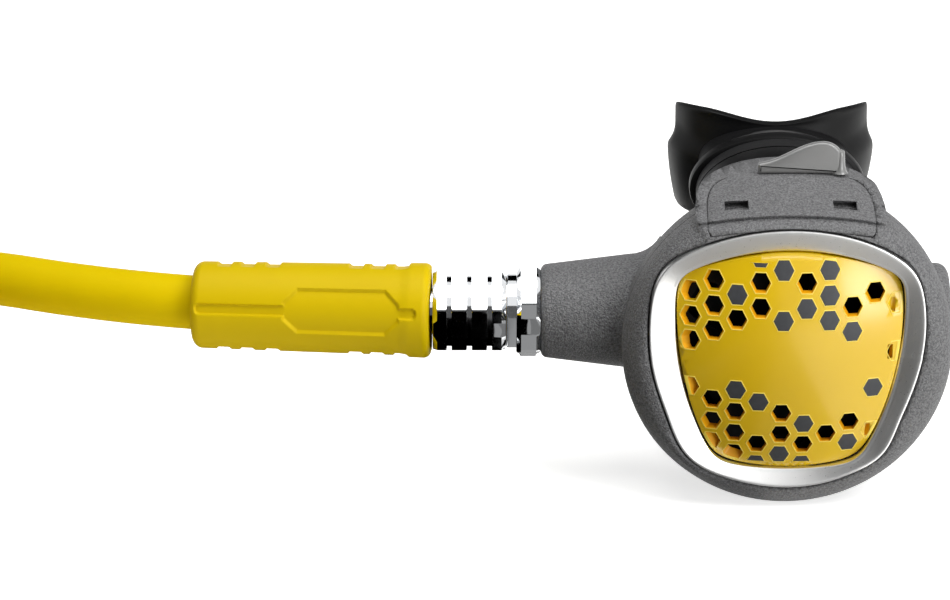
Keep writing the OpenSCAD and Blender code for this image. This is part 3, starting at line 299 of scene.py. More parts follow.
# Extruded thermoplastic rubber: low sheen, clouds of colour 20 mm wide and a grain of 0.7 mm
hose_rubber, tree, shader = material("yellow_hose_rubber", "#e2c400", Roughness=0.55,
                                     Specular_IOR_Level=0.03, Subsurface_Weight=0.06)
shader.inputs["Subsurface Radius"].default_value = (0.002, 0.001, 0.0003)
place = add(tree, "TexCoord")
cloud = add(tree, "TexNoise", {"Vector": place.outputs["Object"], "Scale": 45.0, "Detail": 5.0})
tone = add(tree, "Mix", {0: cloud.outputs["Fac"], 6: linear("#d9ba00"), 7: linear("#e9cc06")},
           data_type="RGBA")
tree.links.new(tone.outputs[2], shader.inputs["Base Color"])
grain = add(tree, "TexNoise", {"Vector": place.outputs["Object"], "Scale": 1400.0, "Detail": 2.0})
bump = add(tree, "Bump", {"Height": grain.outputs["Fac"], "Strength": 0.12, "Distance": 0.0002})
tree.links.new(bump.outputs[0], shader.inputs["Normal"])

hose = shell("hose_rubber", sweep(hose_line, hose_d / 2, 32), hose_rubber)
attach(hose, "body")
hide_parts("hose", "hose_coil")

# ---------------------------------------------------------------- hose tie
# Hook and loop strap of black nylon, 14 mm wide, closed round the two layers of the coil.

# Woven nylon with loops 0.8 mm wide: dull, with a soft bright rim
nylon_tape, tree, shader = material("black_loop_nylon", "#17171a", Roughness=0.9,
                                    Sheen_Weight=0.3, Sheen_Roughness=0.5)
place = add(tree, "TexCoord")
pile = add(tree, "TexVoronoi", {"Vector": place.outputs["Object"], "Scale": 1300.0})
bump = add(tree, "Bump", {"Height": pile.outputs["Distance"], "Strength": 0.6,
                          "Distance": 0.0004})
tree.links.new(bump.outputs[0], shader.inputs["Normal"])


def strap(w, width, thick):
    """A band round the two strands at turn angle w. Its outline is the taut line round two
    circles, found as the farthest of both in each direction."""
    top, low = coil(np.array([w, w + 360.0]))
    ahead = coil(np.array([w - 1, w + 1]))
    t = ahead[1] - ahead[0]
    t /= np.linalg.norm(t)
    side, up = np.cross([0, 0, 1], t), np.array([0, 0, 1.0])
    a = np.linspace(0, 2 * np.pi, 96, endpoint=False)
    d = np.stack([np.cos(a), np.sin(a)], -1)
    flat = np.array([[(top - low) @ side, (top - low) @ up], [0, 0]])
    far = (d @ flat.T).argmax(1)
    rings = []
    for along, out in ((-width, 0.0), (-width, thick), (width, thick), (width, 0.0)):
        q = flat[far] + d * (hose_d / 2 + 0.05 + out)
        p = low + q[:, :1] * side + q[:, 1:] * up + t * along / 2
        p[:, 2] = np.maximum(p[:, 2], 0.1)
        rings.append(p)
    return np.stack(rings)


tie = shell("hose_tie", strap(60.0, 14.0, 1.1), nylon_tape, loop=True)
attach(tie, "body")

# ---------------------------------------------------------------- far end of the hose
# Crimped ferrule, 14 mm hexagon and male thread of chromed brass, with a nitrile O-ring.

# Chromed brass: a hard bright mirror, softened by smears 5 mm wide from handling
bright_chrome, tree, shader = material("chromed_brass", "#e6e8ea", Metallic=1.0, Roughness=0.07)
place = add(tree, "TexCoord")
smear = add(tree, "TexNoise", {"Vector": place.outputs["Object"], "Scale": 220.0, "Detail": 4.0})
rough = add(tree, "MapRange", {0: smear.outputs["Fac"], 3: 0.04, 4: 0.13})
tree.links.new(rough.outputs[0], shader.inputs["Roughness"])


def turned(profile, start, along, across, sides=96, hexagon=None, turn=0.0, thread=None):
    """A body turned about an axis: each profile point [distance, radius] is a ring. hexagon is
    (width over flats, first distance, last distance): rings there keep to the flats, as the
    profile's radius or the distance to the nearest flat, whichever is less. thread is
    (pitch, depth, first, last): there the radius dips in a V that climbs one pitch a turn."""
    profile = np.array(profile, float)
    start, along, across = (np.array(v, float) for v in (start, along, across))
    up = np.cross(along, across)
    a = np.linspace(0, 2 * np.pi, sides, endpoint=False)
    s, r = profile[:, :1], np.repeat(profile[:, 1:], sides, 1)
    if hexagon:
        flats, first, last = hexagon
        bend = np.abs((a - math.radians(turn) + np.pi / 6) % (np.pi / 3) - np.pi / 6)
        keep = flats / 2 / np.cos(bend)
        r = np.where((s >= first) & (s <= last), np.minimum(r, keep), r)
    if thread:
        pitch, depth, first, last = thread
        wave = np.abs(((s / pitch - a / (2 * np.pi)) % 1) * 2 - 1)
        fade = np.clip((s - first) / pitch, 0, 1) * np.clip((last - s) / pitch, 0, 1)
        r = r - np.where((s > first) & (s < last), depth * wave * fade, 0)
    return start + s[..., None] * along + r[..., None] * (
        np.cos(a)[:, None] * across + np.sin(a)[:, None] * up)


ferrule_r, crimp_r, ferrule_len = 7.2, 6.9, 15
end = wound[-1]
rings = [(0, 0.01), (0, 6.5), (0.25, crimp_r), (0.9, ferrule_r)]
for k in range(3):
    at = 2.8 + 3.4 * k
    rings += [(at, ferrule_r), (at + 0.5, crimp_r), (at + 1.3, crimp_r), (at + 1.8, ferrule_r)]
rings += [(14, ferrule_r), (14.6, crimp_r), (ferrule_len, 6.2), (ferrule_len, 0.01)]
far_ferrule = shell("far_ferrule_crimp", turned(rings, end, (0, 1, 0), (1, 0, 0)),
                    bright_chrome)
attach(far_ferrule, "body")
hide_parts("far_ferrule")

flats, corner, hex_len = 14, 8.08, 6
thread_r, thread_pitch, thread_depth, far_bore = 4.76, 1.058, 0.6, 2.4
rings = [(0, 0.01), (0, 6.6), (0.2, 7.3), (0.8, corner), (5.2, corner), (5.8, 7.3),
         (hex_len, 6.6), (hex_len, 3.66), (8.4, 3.66), (8.4, 4.2), (8.9, thread_r)]
rings += [(s, thread_r) for s in np.arange(9.0, 16.9, 0.1)]
rings += [(16.9, 4.7), (17.4, 4.1), (17.4, 2.6), (17.3, far_bore), (4, far_bore), (4, 0.01)]
far_fitting = shell("far_fitting_thread", turned(
    rings, end + [0, ferrule_len, 0], (0, 1, 0), (1, 0, 0), hexagon=(flats, 0, hex_len),
    thread=(thread_pitch, thread_depth, 8.6, 17.2)), bright_chrome)
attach(far_fitting, "body")
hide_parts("far_fitting")

# Nitrile seals: black, satin, with grease in patches 2 mm wide
nitrile, tree, shader = material("black_nitrile", "#101011", Roughness=0.38)
place = add(tree, "TexCoord")
grease = add(tree, "TexNoise", {"Vector": place.outputs["Object"], "Scale": 500.0})
rough = add(tree, "MapRange", {0: grease.outputs["Fac"], 3: 0.3, 4: 0.5})
tree.links.new(rough.outputs[0], shader.inputs["Roughness"])

# ---------------------------------------------------------------- hose protector
# Thick sleeve of yellow rubber over the ferrule and the first of the hose. It has a sunk
# panel with a groove to it on the front, and finger notches above and below.
sleeve_x, sleeve_len, sleeve_yaw = -77.56, 52.9, math.radians(4.5)
sleeve_r, sleeve_tip_r, tip_round, end_round = 10.15, 9.6, 2.2, 1.6
pattern_turn, sunk_depth, notch_depth, notch_w = math.radians(14), 0.7, 0.8, 2.9
notch_x = (-6.6, -11.9, -16.7, -35.2, -40.8, -46.0)


def step(x, edge, soft):
    """0 before an edge and 1 after it, with an S curve as wide as soft."""
    t = np.clip((x - edge) / soft + 0.5, 0, 1)
    return t * t * (3 - 2 * t)


def inside(x, y, cx, cy, w, h, r, soft, chamfer=0.0):
    """1 inside a rectangle w by h with corners of radius r, cut at 45 degrees by a chamfer, and
    0 outside, from the distance to its edge."""
    qx, qy = np.abs(x - cx) - w / 2, np.abs(y - cy) - h / 2
    cut = (qx + qy + chamfer) / math.sqrt(2)
    qx, qy = qx + r, qy + r
    d = np.hypot(np.maximum(qx, 0), np.maximum(qy, 0)) + np.minimum(np.maximum(qx, qy), 0) - r
    return 1 - step(np.maximum(d, cut), 0, soft)


def rounded(distance, radius):
    """How far a quarter round lies below its top: radius * (1 - sqrt(1 - gap ** 2)), where gap
    is the share of the radius that is left at this distance from the end."""
    gap = 1 - np.clip(distance / radius, 0, 1)
    return radius * (1 - np.sqrt(np.clip(1 - gap**2, 0, 1)))


x = -sleeve_len * np.linspace(0, 1, 330)[:, None]
a = np.linspace(0, 2 * np.pi, 216, endpoint=False)[None, :]
tip = sleeve_len + x
r = sleeve_tip_r + (sleeve_r - sleeve_tip_r) * np.clip(tip / sleeve_len, 0, 1) ** 0.8
r = r + 0.35 * step(x, -5.5, 3.0) - rounded(tip, tip_round) - rounded(-x, end_round)
# The groove, the panel and the slot beside it are sunk with soft walls, at a height that is
# counted as on a 10 mm round. They look up a little, and so do the notches, which are flats cut
# across the top and the bottom.
face = a + pattern_turn
up = 10 * np.sin(face)
groove = inside(x, up, -41.3, 0, 20.5, 2.3, 0.9, 0.5)
slot = inside(x, up, -5.2, 0, 5.0, 2.2, 1.1, 0.5)
panel = inside(x, up, -19.3, 0, 25.4, 9.7, 1.2, 0.7, chamfer=3.0)
sunk = np.maximum(np.maximum(groove, slot), panel)
notch = sum(inside(x, 0 * up, at, 0, notch_w, 40, 0.3, 0.7) for at in notch_x)
flat = (r - notch_depth) / np.maximum(np.abs(np.sin(face)), 0.5)
r = r - notch * np.maximum(r - flat, 0) - sunk_depth * sunk * (np.cos(face) < 0)
outer = np.stack([x + 0 * a, r * np.cos(a), r * np.sin(a)], -1)
# The bore runs from the tip over the hose, widens over the ferrule and closes in on its neck
ring = np.array([[-sleeve_len + 0.4, 7.0], [-sleeve_len + 3, 6.75], [-30, 6.75], [-16.6, 7.3],
                 [-1.6, 7.3], [-1.4, 5.5], [0, 5.5]])
inner = np.stack([ring[:, :1] + 0 * a, ring[:, 1:] * np.cos(a), ring[:, 1:] * np.sin(a)], -1)
# It follows the hose, a few degrees off the valve's axis, and its end is square to that axis
turn = np.array([[math.cos(sleeve_yaw), math.sin(sleeve_yaw), 0],
                 [-math.sin(sleeve_yaw), math.cos(sleeve_yaw), 0], [0, 0, 1]])
grid = np.concatenate([outer, inner]) @ turn.T + valve_axis + [sleeve_x, 0, 0]
grid[..., 0] = np.minimum(grid[..., 0], sleeve_x)

# Moulded rubber: the hose's yellow a little deeper, in clouds 17 mm wide, with a 1 mm grain
sleeve_rubber, tree, shader = material("yellow_moulded_rubber", "#d2b400", Roughness=0.5,
                                       Specular_IOR_Level=0.1, Subsurface_Weight=0.06)
shader.inputs["Subsurface Radius"].default_value = (0.002, 0.001, 0.0003)
place = add(tree, "TexCoord")
cloud = add(tree, "TexNoise", {"Vector": place.outputs["Object"], "Scale": 60.0, "Detail": 4.0})
tone = add(tree, "Mix", {0: cloud.outputs["Fac"], 6: linear("#cdaf00"), 7: linear("#d7ba01")},
           data_type="RGBA")
tree.links.new(tone.outputs[2], shader.inputs["Base Color"])
grain = add(tree, "TexNoise", {"Vector": place.outputs["Object"], "Scale": 900.0, "Detail": 2.0})
bump = add(tree, "Bump", {"Height": grain.outputs["Fac"], "Strength": 0.15, "Distance": 0.0002})
tree.links.new(bump.outputs[0], shader.inputs["Normal"])
sleeve = shell("hose_protector_sleeve", grid, sleeve_rubber, loop=True)
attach(sleeve, "body")
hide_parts("hose_protector")

# ---------------------------------------------------------------- hose fitting and nuts
# Chromed brass turned from hexagon bar: the crimped fitting, the swivel nut with three grooves
# that turns on it, and the nut that holds the valve in the case.
along, front = (1, 0, 0), (0, -1, 0)
ferrule_x, flange_x, nose_x = -78.96, -73.4, -63
neck_r, flange_r, nose_r, stem_bore = 5.2, 6.4, 4.9, 2.5
swivel_x0, swivel_x1, swivel_bore = -77.36, -61.16, 7.19
fitting = shell("hose_fitting_stem", turned(
    [(stem_x, 0.01), (stem_x, 6.6), (-93.4, ferrule_r), (-80, ferrule_r), (ferrule_x, 6.2),
     (ferrule_x, neck_r), (flange_x, neck_r), (flange_x, flange_r), (-71.05, flange_r),
     (-71.05, nose_r), (-68, nose_r), (-68, 3.7), (-66, 3.7), (-66, nose_r), (-63.6, nose_r),
     (nose_x, 4.3), (nose_x, stem_bore), (stem_x + 2, stem_bore), (stem_x + 2, 0.01)],
    valve_axis, along, front), bright_chrome)
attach(fitting, "body")
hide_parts("hose_fitting")


def nut(name, flats, x0, x1, turn_up, bore, body, grooves=(), collar=None):
    """A hexagon nut about the valve axis, with one corner turn_up degrees above the front. Its
    ends are chamfered and its corners turned down a little; each groove is (middle, width,
    radius) and the collar is (end, radius)."""
    corner = flats / math.sqrt(3) - 0.12
    low = flats / 2 - 0.5
    rings = [(x0, bore), (x0, low), (x0 + 0.12, low + 0.25), (x0 + 1.0, corner)]
    for at, w, gr in grooves:
        rings += [(at - w / 2 - 0.1, corner), (at - w / 2, corner - 0.15), (at - w / 2, gr),
                  (at + w / 2, gr), (at + w / 2, corner - 0.15), (at + w / 2 + 0.1, corner)]
    rings += [(x1 - 1.0, corner), (x1 - 0.12, low + 0.25), (x1, low)]
    if collar:
        rings = [(collar[0], bore), (collar[0], collar[1] - 0.3), (collar[0] + 0.3, collar[1]),
                 (x0 - 0.01, collar[1])] + rings[1:]
    rings += [(x1, bore)]
    o = shell(name, turned(rings, valve_axis, along, front, 360,
                           hexagon=(flats, x0, x1), turn=30 - turn_up), bright_chrome, loop=True,
              sharp=25)
    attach(o, body)
    return o


middle = (swivel_x0 + swivel_x1) / 2
swivel = nut("swivel_nut_grooved", flats=17.5, x0=swivel_x0, x1=swivel_x1, turn_up=19.5,
             bore=swivel_bore, body="swivel",
             grooves=[(middle + 4.45 * k, 1.1, 7.85) for k in (-1, 0, 1)])
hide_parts("swivel_nut")
case_nut = nut("case_nut_collared", flats=19.0, x0=-58.9, x1=-53.55, turn_up=27.6,
               bore=swivel_bore, body="body", collar=(-61.1, 8.2))
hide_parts("case_nut")

# ---------------------------------------------------------------- case, cover, clip
# Glass filled nylon mouldings in dark grey with a spark eroded grain: the case with its neck,
# the front cover screwed to it, and the clip that locks the cover, with its two slots. The
# cover's opening has the outline of the frame that snaps into it.
grained_nylon, tree, shader = material("grained_grey_nylon", "#6a6a6b", Roughness=0.58,
                                       Specular_IOR_Level=0.35)
place = add(tree, "TexCoord")
# Spark grain is about 0.1 mm; it is drawn 0.4 mm wide so that it shows
grain = add(tree, "TexNoise", {"Vector": place.outputs["Object"], "Scale": 2300.0,
                               "Detail": 3.0, "Roughness": 0.65})
fine = add(tree, "TexVoronoi", {"Vector": place.outputs["Object"], "Scale": 2600.0})
both = add(tree, "Math", {0: grain.outputs["Fac"], 1: fine.outputs["Distance"]},
           operation="ADD")
bump = add(tree, "Bump", {"Height": both.outputs[0], "Strength": 0.6, "Distance": 0.0003})
soft_edge = add(tree, "Bevel", {"Radius": 0.0003}, samples=4)
tree.links.new(soft_edge.outputs[0], bump.inputs["Normal"])
tree.links.new(bump.outputs[0], shader.inputs["Normal"])
speck = add(tree, "MapRange", {0: grain.outputs["Fac"], 1: 0.35, 2: 0.65})
tone = add(tree, "Mix", {0: speck.outputs[0], 6: linear("#4b4b4c"), 7: linear("#7c7c7d")},
           data_type="RGBA")
tree.links.new(tone.outputs[2], shader.inputs["Base Color"])
rough = add(tree, "MapRange", {0: grain.outputs["Fac"], 3: 0.45, 4: 0.7})
tree.links.new(rough.outputs[0], shader.inputs["Roughness"])


def refinish(node, paint, name, sharp=30, move=None, ends=None):
    """A copy of a CAD node with its doubled points merged and a new finish, which stands for
    the node. It is smooth across shallow angles, and at a corner each face counts by its area,
    so that flat faces stay flat beside narrow ones. move shifts its points, in millimetres.
    ends is (fixed body, moving body, axis) for a spring: then the copy keeps its place in the
    model and joins no body; the two bodies are not used, and the axis has no effect."""
    old = nodes[node]
    bm = bmesh.new()
    bm.from_mesh(old.data)
    bmesh.ops.remove_doubles(bm, verts=bm.verts, dist=2e-6)
    mesh = bpy.data.meshes.new(name)
    bm.to_mesh(mesh)
    bm.free()
    if move:
        p = np.empty(3 * len(mesh.vertices), np.float32)
        mesh.vertices.foreach_get("co", p)
        mesh.vertices.foreach_set("co", (move(p.reshape(-1, 3) / MM) * MM).astype("f").ravel())
    mesh.polygons.foreach_set("use_smooth", np.ones(len(mesh.polygons), bool))
    mesh.set_sharp_from_angle(angle=math.radians(sharp))
    mesh.materials.clear()
    mesh.materials.append(paint)
    o = bpy.data.objects.new(name, mesh)
    bpy.context.scene.collection.objects.link(o)
    by_area = o.modifiers.new("by_area", "WEIGHTED_NORMAL")
    by_area.keep_sharp, by_area.weight = True, 100
    if ends:
        fixed, moving, axis = ends
        low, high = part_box(node)
        far, near = list(high), list(high)
        near[axis] = low[axis]
        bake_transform(o)
    else:
        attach(o, old["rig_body"])
    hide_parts(node)
    return o


case_at = np.array([0, -26.0, 36.0])


def shield(a, top, top_r, bottom, bottom_r, half, half_r, half_z, blend):
    """The radius of a shield outline at angle a: each side is an arc of a circle, at the
    distance along the ray to that circle, and the four distances r blend into
    (sum of r ** -blend) ** (-1 / blend)."""
    total = 0
    for cx, cz, r in ((0, top - top_r, top_r), (0, bottom_r - bottom, bottom_r),
                      (half - half_r, half_z, half_r), (half_r - half, half_z, half_r)):
        reach = cx * np.cos(a) + cz * np.sin(a)
        total = total + (reach + np.sqrt(reach**2 - cx**2 - cz**2 + r**2)) ** -blend
    return total ** (-1 / blend)


def frame_shield(a):
    """The even shield that the frame's outer outline starts from."""
    return shield(a, top=28.98, top_r=51.29, bottom=30.63, bottom_r=38.95, half=30.08,
                  half_r=61.23, half_z=10.47, blend=15.25)


def fuller(a):
    """How far the frame's outline swells beyond the even shield: a sum of bells, height times
    exp(-(angle / width) ** 2), at the left side and the two lower corners, and in at the right."""
    deg = np.degrees(a) % 360
    return sum(h * np.exp(-((deg - at) / w) ** 2) for h, at, w in
               ((1.3, 188, 30), (2.0, 226, 17), (1.3, 313, 12), (-0.9, 32, 20)))


recess_gap, recess_wall, recess_y, cover_rim_r = 0.45, 1.8, -11.5, 35


def fit_frame(p):
    """Moves the cover's opening out with the frame's outline: a point goes out by fuller times a
    share, which is 1 at the recess for the frame and falls in an S curve to 0 at the rim. What
    is behind the recess or well inside its wall stays."""
    q = p - case_at
    r, a = np.hypot(q[:, 0], q[:, 2]), np.arctan2(q[:, 2], q[:, 0])
    edge = frame_shield(a) + recess_gap
    share = (np.clip(r - edge + recess_wall, 0, 1) * (q[:, 1] < recess_y)
             * (1 - ease((r - edge) / (cover_rim_r - edge))))
    out = 1 + fuller(a) * share / np.maximum(r, 1)
    return case_at + q * np.stack([out, np.ones(len(q)), out], -1)


for node in ("case", "front_cover", "top_clip"):
    moulding = refinish(node, grained_nylon, node + "_moulding",
                        move=fit_frame if node == "front_cover" else None)

# ---------------------------------------------------------------- dive lever
# Smooth grey nylon: a shaft in the case with a groove for its seal, a hub, and a thumb fin that
# rises from its low end to a round lobe with a rib down its free edge. It turns 30 degrees.

# Polished mould: a clear sheen over faint clouds 5 mm wide
smooth_nylon, tree, shader = material("smooth_grey_nylon", "#737372", Roughness=0.34,
                                      Coat_Weight=0.7, Coat_Roughness=0.12)
place = add(tree, "TexCoord")
cloud = add(tree, "TexNoise", {"Vector": place.outputs["Object"], "Scale": 220.0, "Detail": 3.0})
tone = add(tree, "Mix", {0: cloud.outputs["Fac"], 6: linear("#6e6e6d"), 7: linear("#797978")},
           data_type="RGBA")
tree.links.new(tone.outputs[2], shader.inputs["Base Color"])
rough = add(tree, "MapRange", {0: cloud.outputs["Fac"], 3: 0.28, 4: 0.4})
tree.links.new(rough.outputs[0], shader.inputs["Roughness"])


def even(loop, n):
    """A closed line of points resampled to n, evenly along its length."""
    q = np.vstack([loop, loop[:1]])
    s = np.concatenate([[0], np.cumsum(np.hypot(*np.diff(q, axis=0).T))])
    at = np.linspace(0, s[-1], n, endpoint=False)
    return np.stack([np.interp(at, s, q[:, 0]), np.interp(at, s, q[:, 1])], -1)


def smooth(loop, times):
    """A closed line with its corners eased: each time a point becomes half of itself and a
    quarter of each neighbour."""
    for _ in range(times):
        loop = (np.roll(loop, 1, 0) + 2 * loop + np.roll(loop, -1, 0)) / 4
    return loop


shaft_at = case_at + [3.5, 6.6, 0]
shaft_r, seal_r, hub_z, hub_r, fin_h, lobe_r = 2.5, 1.8, 35.9, 3.1, 6.8, 4.5
fin_y, fin_half, fin_round = -2.3, 0.35, 0.65
fin_start, fin_foot, fin_low, rib_x = -9.9, -0.2, 2, 8
shaft = turned([(10.4, 0.01), (10.4, shaft_r), (30.45, shaft_r), (30.45, seal_r),
                (32.15, seal_r), (32.15, shaft_r), (hub_z, shaft_r), (hub_z, hub_r - 0.2),
                (hub_z + 0.2, hub_r), (hub_z + 1.0, hub_r), (hub_z + 1.2, hub_r - 0.2),
                (hub_z + 1.2, 0.01)], shaft_at, (0, 0, 1), (1, 0, 0), 72)
# The fin's outline goes up an S slope, round the lobe and down to the hub
x = np.linspace(fin_start, 4.2, 90)
slope = np.stack([x, fin_low + (fin_h - fin_low) * ease((x + 10.5) / 14.8)], -1)
arc = np.radians(np.linspace(88, 35, 30))
lobe = np.stack([4.3 + lobe_r * np.cos(arc), fin_h - lobe_r + lobe_r * np.sin(arc)], -1)
line = np.vstack([[[fin_start, fin_foot]], slope, lobe, [[rib_x, fin_foot]]])
line = smooth(even(line, 260), 4)
ahead = np.roll(line, -1, 0) - np.roll(line, 1, 0)
inward = np.stack([ahead[:, 1], -ahead[:, 0]], -1)
inward /= np.linalg.norm(inward, axis=1, keepdims=True)
# The fin's two edges are quarter rounds: each ring is (distance from its middle plane, inset)
rings = [(-fin_half - fin_round * math.cos(phi), fin_round * (1 - math.sin(phi)))
         for phi in np.radians([0, 15, 30, 45, 60, 75, 90])]
rings += [(-y, inset) for y, inset in rings[::-1]]
fin = []
for y, inset in rings:
    p = line + inset * inward
    fin.append(np.stack([p[:, 0], np.full(len(p), y + fin_y), p[:, 1] + hub_z], -1) + shaft_at)
rib = turned([(0, 0.01), (0, 1.7), (0.5, 1.35), (1.6, 1.08), (3.6, 0.95), (4.6, 0.9), (5.0, 0.7),
              (5.2, 0.35), (5.25, 0.01)], shaft_at + [rib_x, fin_y, hub_z + fin_foot], (0, 0, 1),
             (1, 0, 0), 48)
lever = shell("dive_lever_nylon", [shaft, np.stack(fin), rib], smooth_nylon)
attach(lever, nodes["dive_lever"]["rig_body"])
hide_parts("dive_lever")

# ---------------------------------------------------------------- trim frame
# Shield shaped frame of nylon with a satin metal plating, snapped into the cover. Its face is
# dished towards the button, and both edges are rounded.
front_y, button_gap, cover_gap = -15.0, 0.35, 0.28
face_slope, round_w, deepest = 0.42, 1.2, 1.56


def button_edge(a):
    """The button's outline, the same kind of shield as the frame's."""
    return shield(a, top=23.28, top_r=53.75, bottom=26.02, bottom_r=63.42, half=24.47,
                  half_r=77.2, half_z=11.53, blend=19.54)


a = np.linspace(0, 2 * np.pi, 360, endpoint=False)
inner, outer = button_edge(a) + button_gap, frame_shield(a) + fuller(a) - cover_gap
face, back = front_y - 0.2, front_y + 2.7
# The face falls to the button at an even slope, so it falls less where the frame is narrow. Each
# point of its section is (share of the way out, shift out, share of the drop, depth).
drop = np.minimum(face_slope * (outer - inner - round_w), deepest)
section = [(0, 0, 0, back), (1, 0, 0, back), (1, 0, 0, face + 0.14), (1, -0.03, 0, face + 0.04),
           (1, -0.1, 0, face), (1, -0.3, 0, face), (1, -0.45, 0.02, face)]
for k in np.linspace(0.9, 0.1, 9):
    section.append((k, -0.5 * k + 0.7 * (1 - k), 1 - k, face))
section += [(0, 0.7, 1, face), (0, 0.4, 1, face + 0.04), (0, 0.12, 1, face + 0.22),
            (0, 0, 1, face + 0.5)]
rings = []
for share, shift, down, y in section:
    r = inner + share * (outer - inner) + shift
    rings.append(np.stack([r * np.cos(a), y + down * drop, r * np.sin(a)], -1) + case_at)

# Satin metal plating on plastic: neutral silver, its reflections blurred by a 0.4 mm grain
satin_plating, tree, shader = material("satin_metal_plating", "#e4e4e3", Metallic=1.0,
                                       Roughness=0.3)
place = add(tree, "TexCoord")
grain = add(tree, "TexNoise", {"Vector": place.outputs["Object"], "Scale": 2600.0, "Detail": 2.0})
rough = add(tree, "MapRange", {0: grain.outputs["Fac"], 3: 0.24, 4: 0.36})
tree.links.new(rough.outputs[0], shader.inputs["Roughness"])
bump = add(tree, "Bump", {"Height": grain.outputs["Fac"], "Strength": 0.06, "Distance": 0.0002})
tree.links.new(bump.outputs[0], shader.inputs["Normal"])
trim = shell("trim_frame_plated", np.stack(rings), satin_plating, loop=True)
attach(trim, "body")
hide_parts("trim_frame")

# ---------------------------------------------------------------- purge button
# Domed cover of yellow ABS behind the frame, with open hexagons for the water and grey
# hexagons printed between them. It is pressed in to purge the valve.

# Glossy moulded ABS: a soft coat of light over clouds 30 mm wide, with rounded edges
yellow_abs, tree, shader = material("yellow_glossy_abs", "#d9b202", Roughness=0.24,
                                    Coat_Weight=0.25, Coat_Roughness=0.12,
                                    Subsurface_Weight=0.05)
shader.inputs["Subsurface Radius"].default_value = (0.0015, 0.0008, 0.0002)
place = add(tree, "TexCoord")
cloud = add(tree, "TexNoise", {"Vector": place.outputs["Object"], "Scale": 35.0, "Detail": 2.0})
tone = add(tree, "Mix", {0: cloud.outputs["Fac"], 6: linear("#d3aa00"), 7: linear("#dfba04")},
           data_type="RGBA")
tree.links.new(tone.outputs[2], shader.inputs["Base Color"])
soft_edge = add(tree, "Bevel", {"Radius": 0.0003}, samples=4)
tree.links.new(soft_edge.outputs[0], shader.inputs["Normal"])
refinish("purge_button", yellow_abs, "purge_button_dome")

apex_y, dome_r = -19.0, 62.0
cell_at, cell_step = np.array([-1.72, -1.35]), np.array([4.97, 5.33])
half_flats, cell_squeeze = 2.1, 4.42 / 4.85


def cell(column, row):
    """The middle of one hexagon of the pattern, across x and z."""
    return cell_at + cell_step * (column, row)


def hexagon(column, row, low=-1.0, high=1.0, margin=0.8):
    """A hexagon at its place in the pattern, as 48 points across x and z: at angle b its edge is
    at half the width over the flats over cos(b), with b counted from the nearest flat, and it
    is squeezed a little across. low and high cut it to a share of its height, and it keeps a
    margin off the button's edge."""
    b = np.linspace(0, 2 * np.pi, 48, endpoint=False)
    edge = half_flats / np.cos((b - np.pi / 3) % (np.pi / 3) - np.pi / 6)
    p = np.stack([edge * np.cos(b) * cell_squeeze,
                  np.clip(edge * np.sin(b), half_flats * low, half_flats * high)], -1)
    return off_edge(cell(column, row) + p, margin)


def off_edge(p, margin):
    """Points drawn in to the button's middle where they come nearer to its edge than margin."""
    r = np.hypot(*p.T)
    keep = button_edge(np.arctan2(p[:, 1], p[:, 0])) - margin
    return p * (np.minimum(r, keep) / r)[:, None]


def on_dome(p, depth):
    """Points across x and z, set on the sphere y = apex + R - sqrt(R^2 - x^2 - z^2), or behind
    it by a depth."""
    x, z = p[:, 0], p[:, 1]
    y = apex_y + dome_r - np.sqrt(dome_r**2 - x**2 - z**2) + depth
    return np.stack([x, y, z], -1) + case_at


def hexagon_rings(line, levels, lean=(0.0, 0.0)):
    """Rings from one outline: each level is its scale about the outline's middle, its depth
    behind the dome, and its share of the lean to one side."""
    middle = line.mean(0)
    return np.stack([on_dome(off_edge(middle + scale * (line - middle), 0.08)
                             + share * np.array(lean), depth) for scale, depth, share in levels])


def hole_wall(column, row):
    """The wall of one hole, a hexagonal sleeve that narrows to the back. Its inner end leans
    0.3 mm to the right, and also to the button's middle if the hole is near the edge, where the
    wall follows the button's side: by 1.5 mm with no room beside it, by 0 where 1.6 mm is left."""
    middle = cell(column, row)
    r = np.hypot(*middle)
    room = button_edge(np.arctan2(middle[1], middle[0])) - r - 2.4
    lean = np.array([0.3, 0]) - 1.5 * np.clip(1 - room / 1.6, 0, 1) * middle / r
    return hexagon_rings(hexagon(column, row), (
        (1.0, 0.5, 0), (1.0, 0.05, 0), (0.985, 0.02, 0), (0.97, 0.1, 0.03), (0.94, 0.9, 0.5),
        (0.92, 1.75, 1), (0.97, 1.75, 1), (1.02, 1.0, 0.3)), lean)


# Columns and rows of the pattern; a print that is cut has its lowest and highest share too
holes = [(-4, 3), (-4, 2), (-4, 1), (-3, 3.5), (-3, 2.5), (-3, 1.5), (-2, 2), (-1, 3.5), (-1, 2.5),
         (1, 3.5), (3, 2.5), (4, 3), (-3, -1.5), (-3, -2.5), (-3, -3.5), (-2, -2),
         (-2, -3), (-2, -4), (-1, -3.5), (0, -2), (0, -3), (1, -3.5), (2, -3), (3, -2.5),
         (-4, -1), (5, 2.5), (5, 0.5), (4, -3)]
prints = [(-2, 3), (0, 4), (0, 2), (2, 4), (2, 3), (2, 2), (1, 2.5), (3, 1.5), (-2, -1),
          (-1, -1.5), (1, -2.5), (0, -4), (3, -3.5), (4, -1), (-1, 4.5, -1, -0.57),
          (-1, -4.5, 0.3, 1), (1, -4.5, 0.3, 1)]
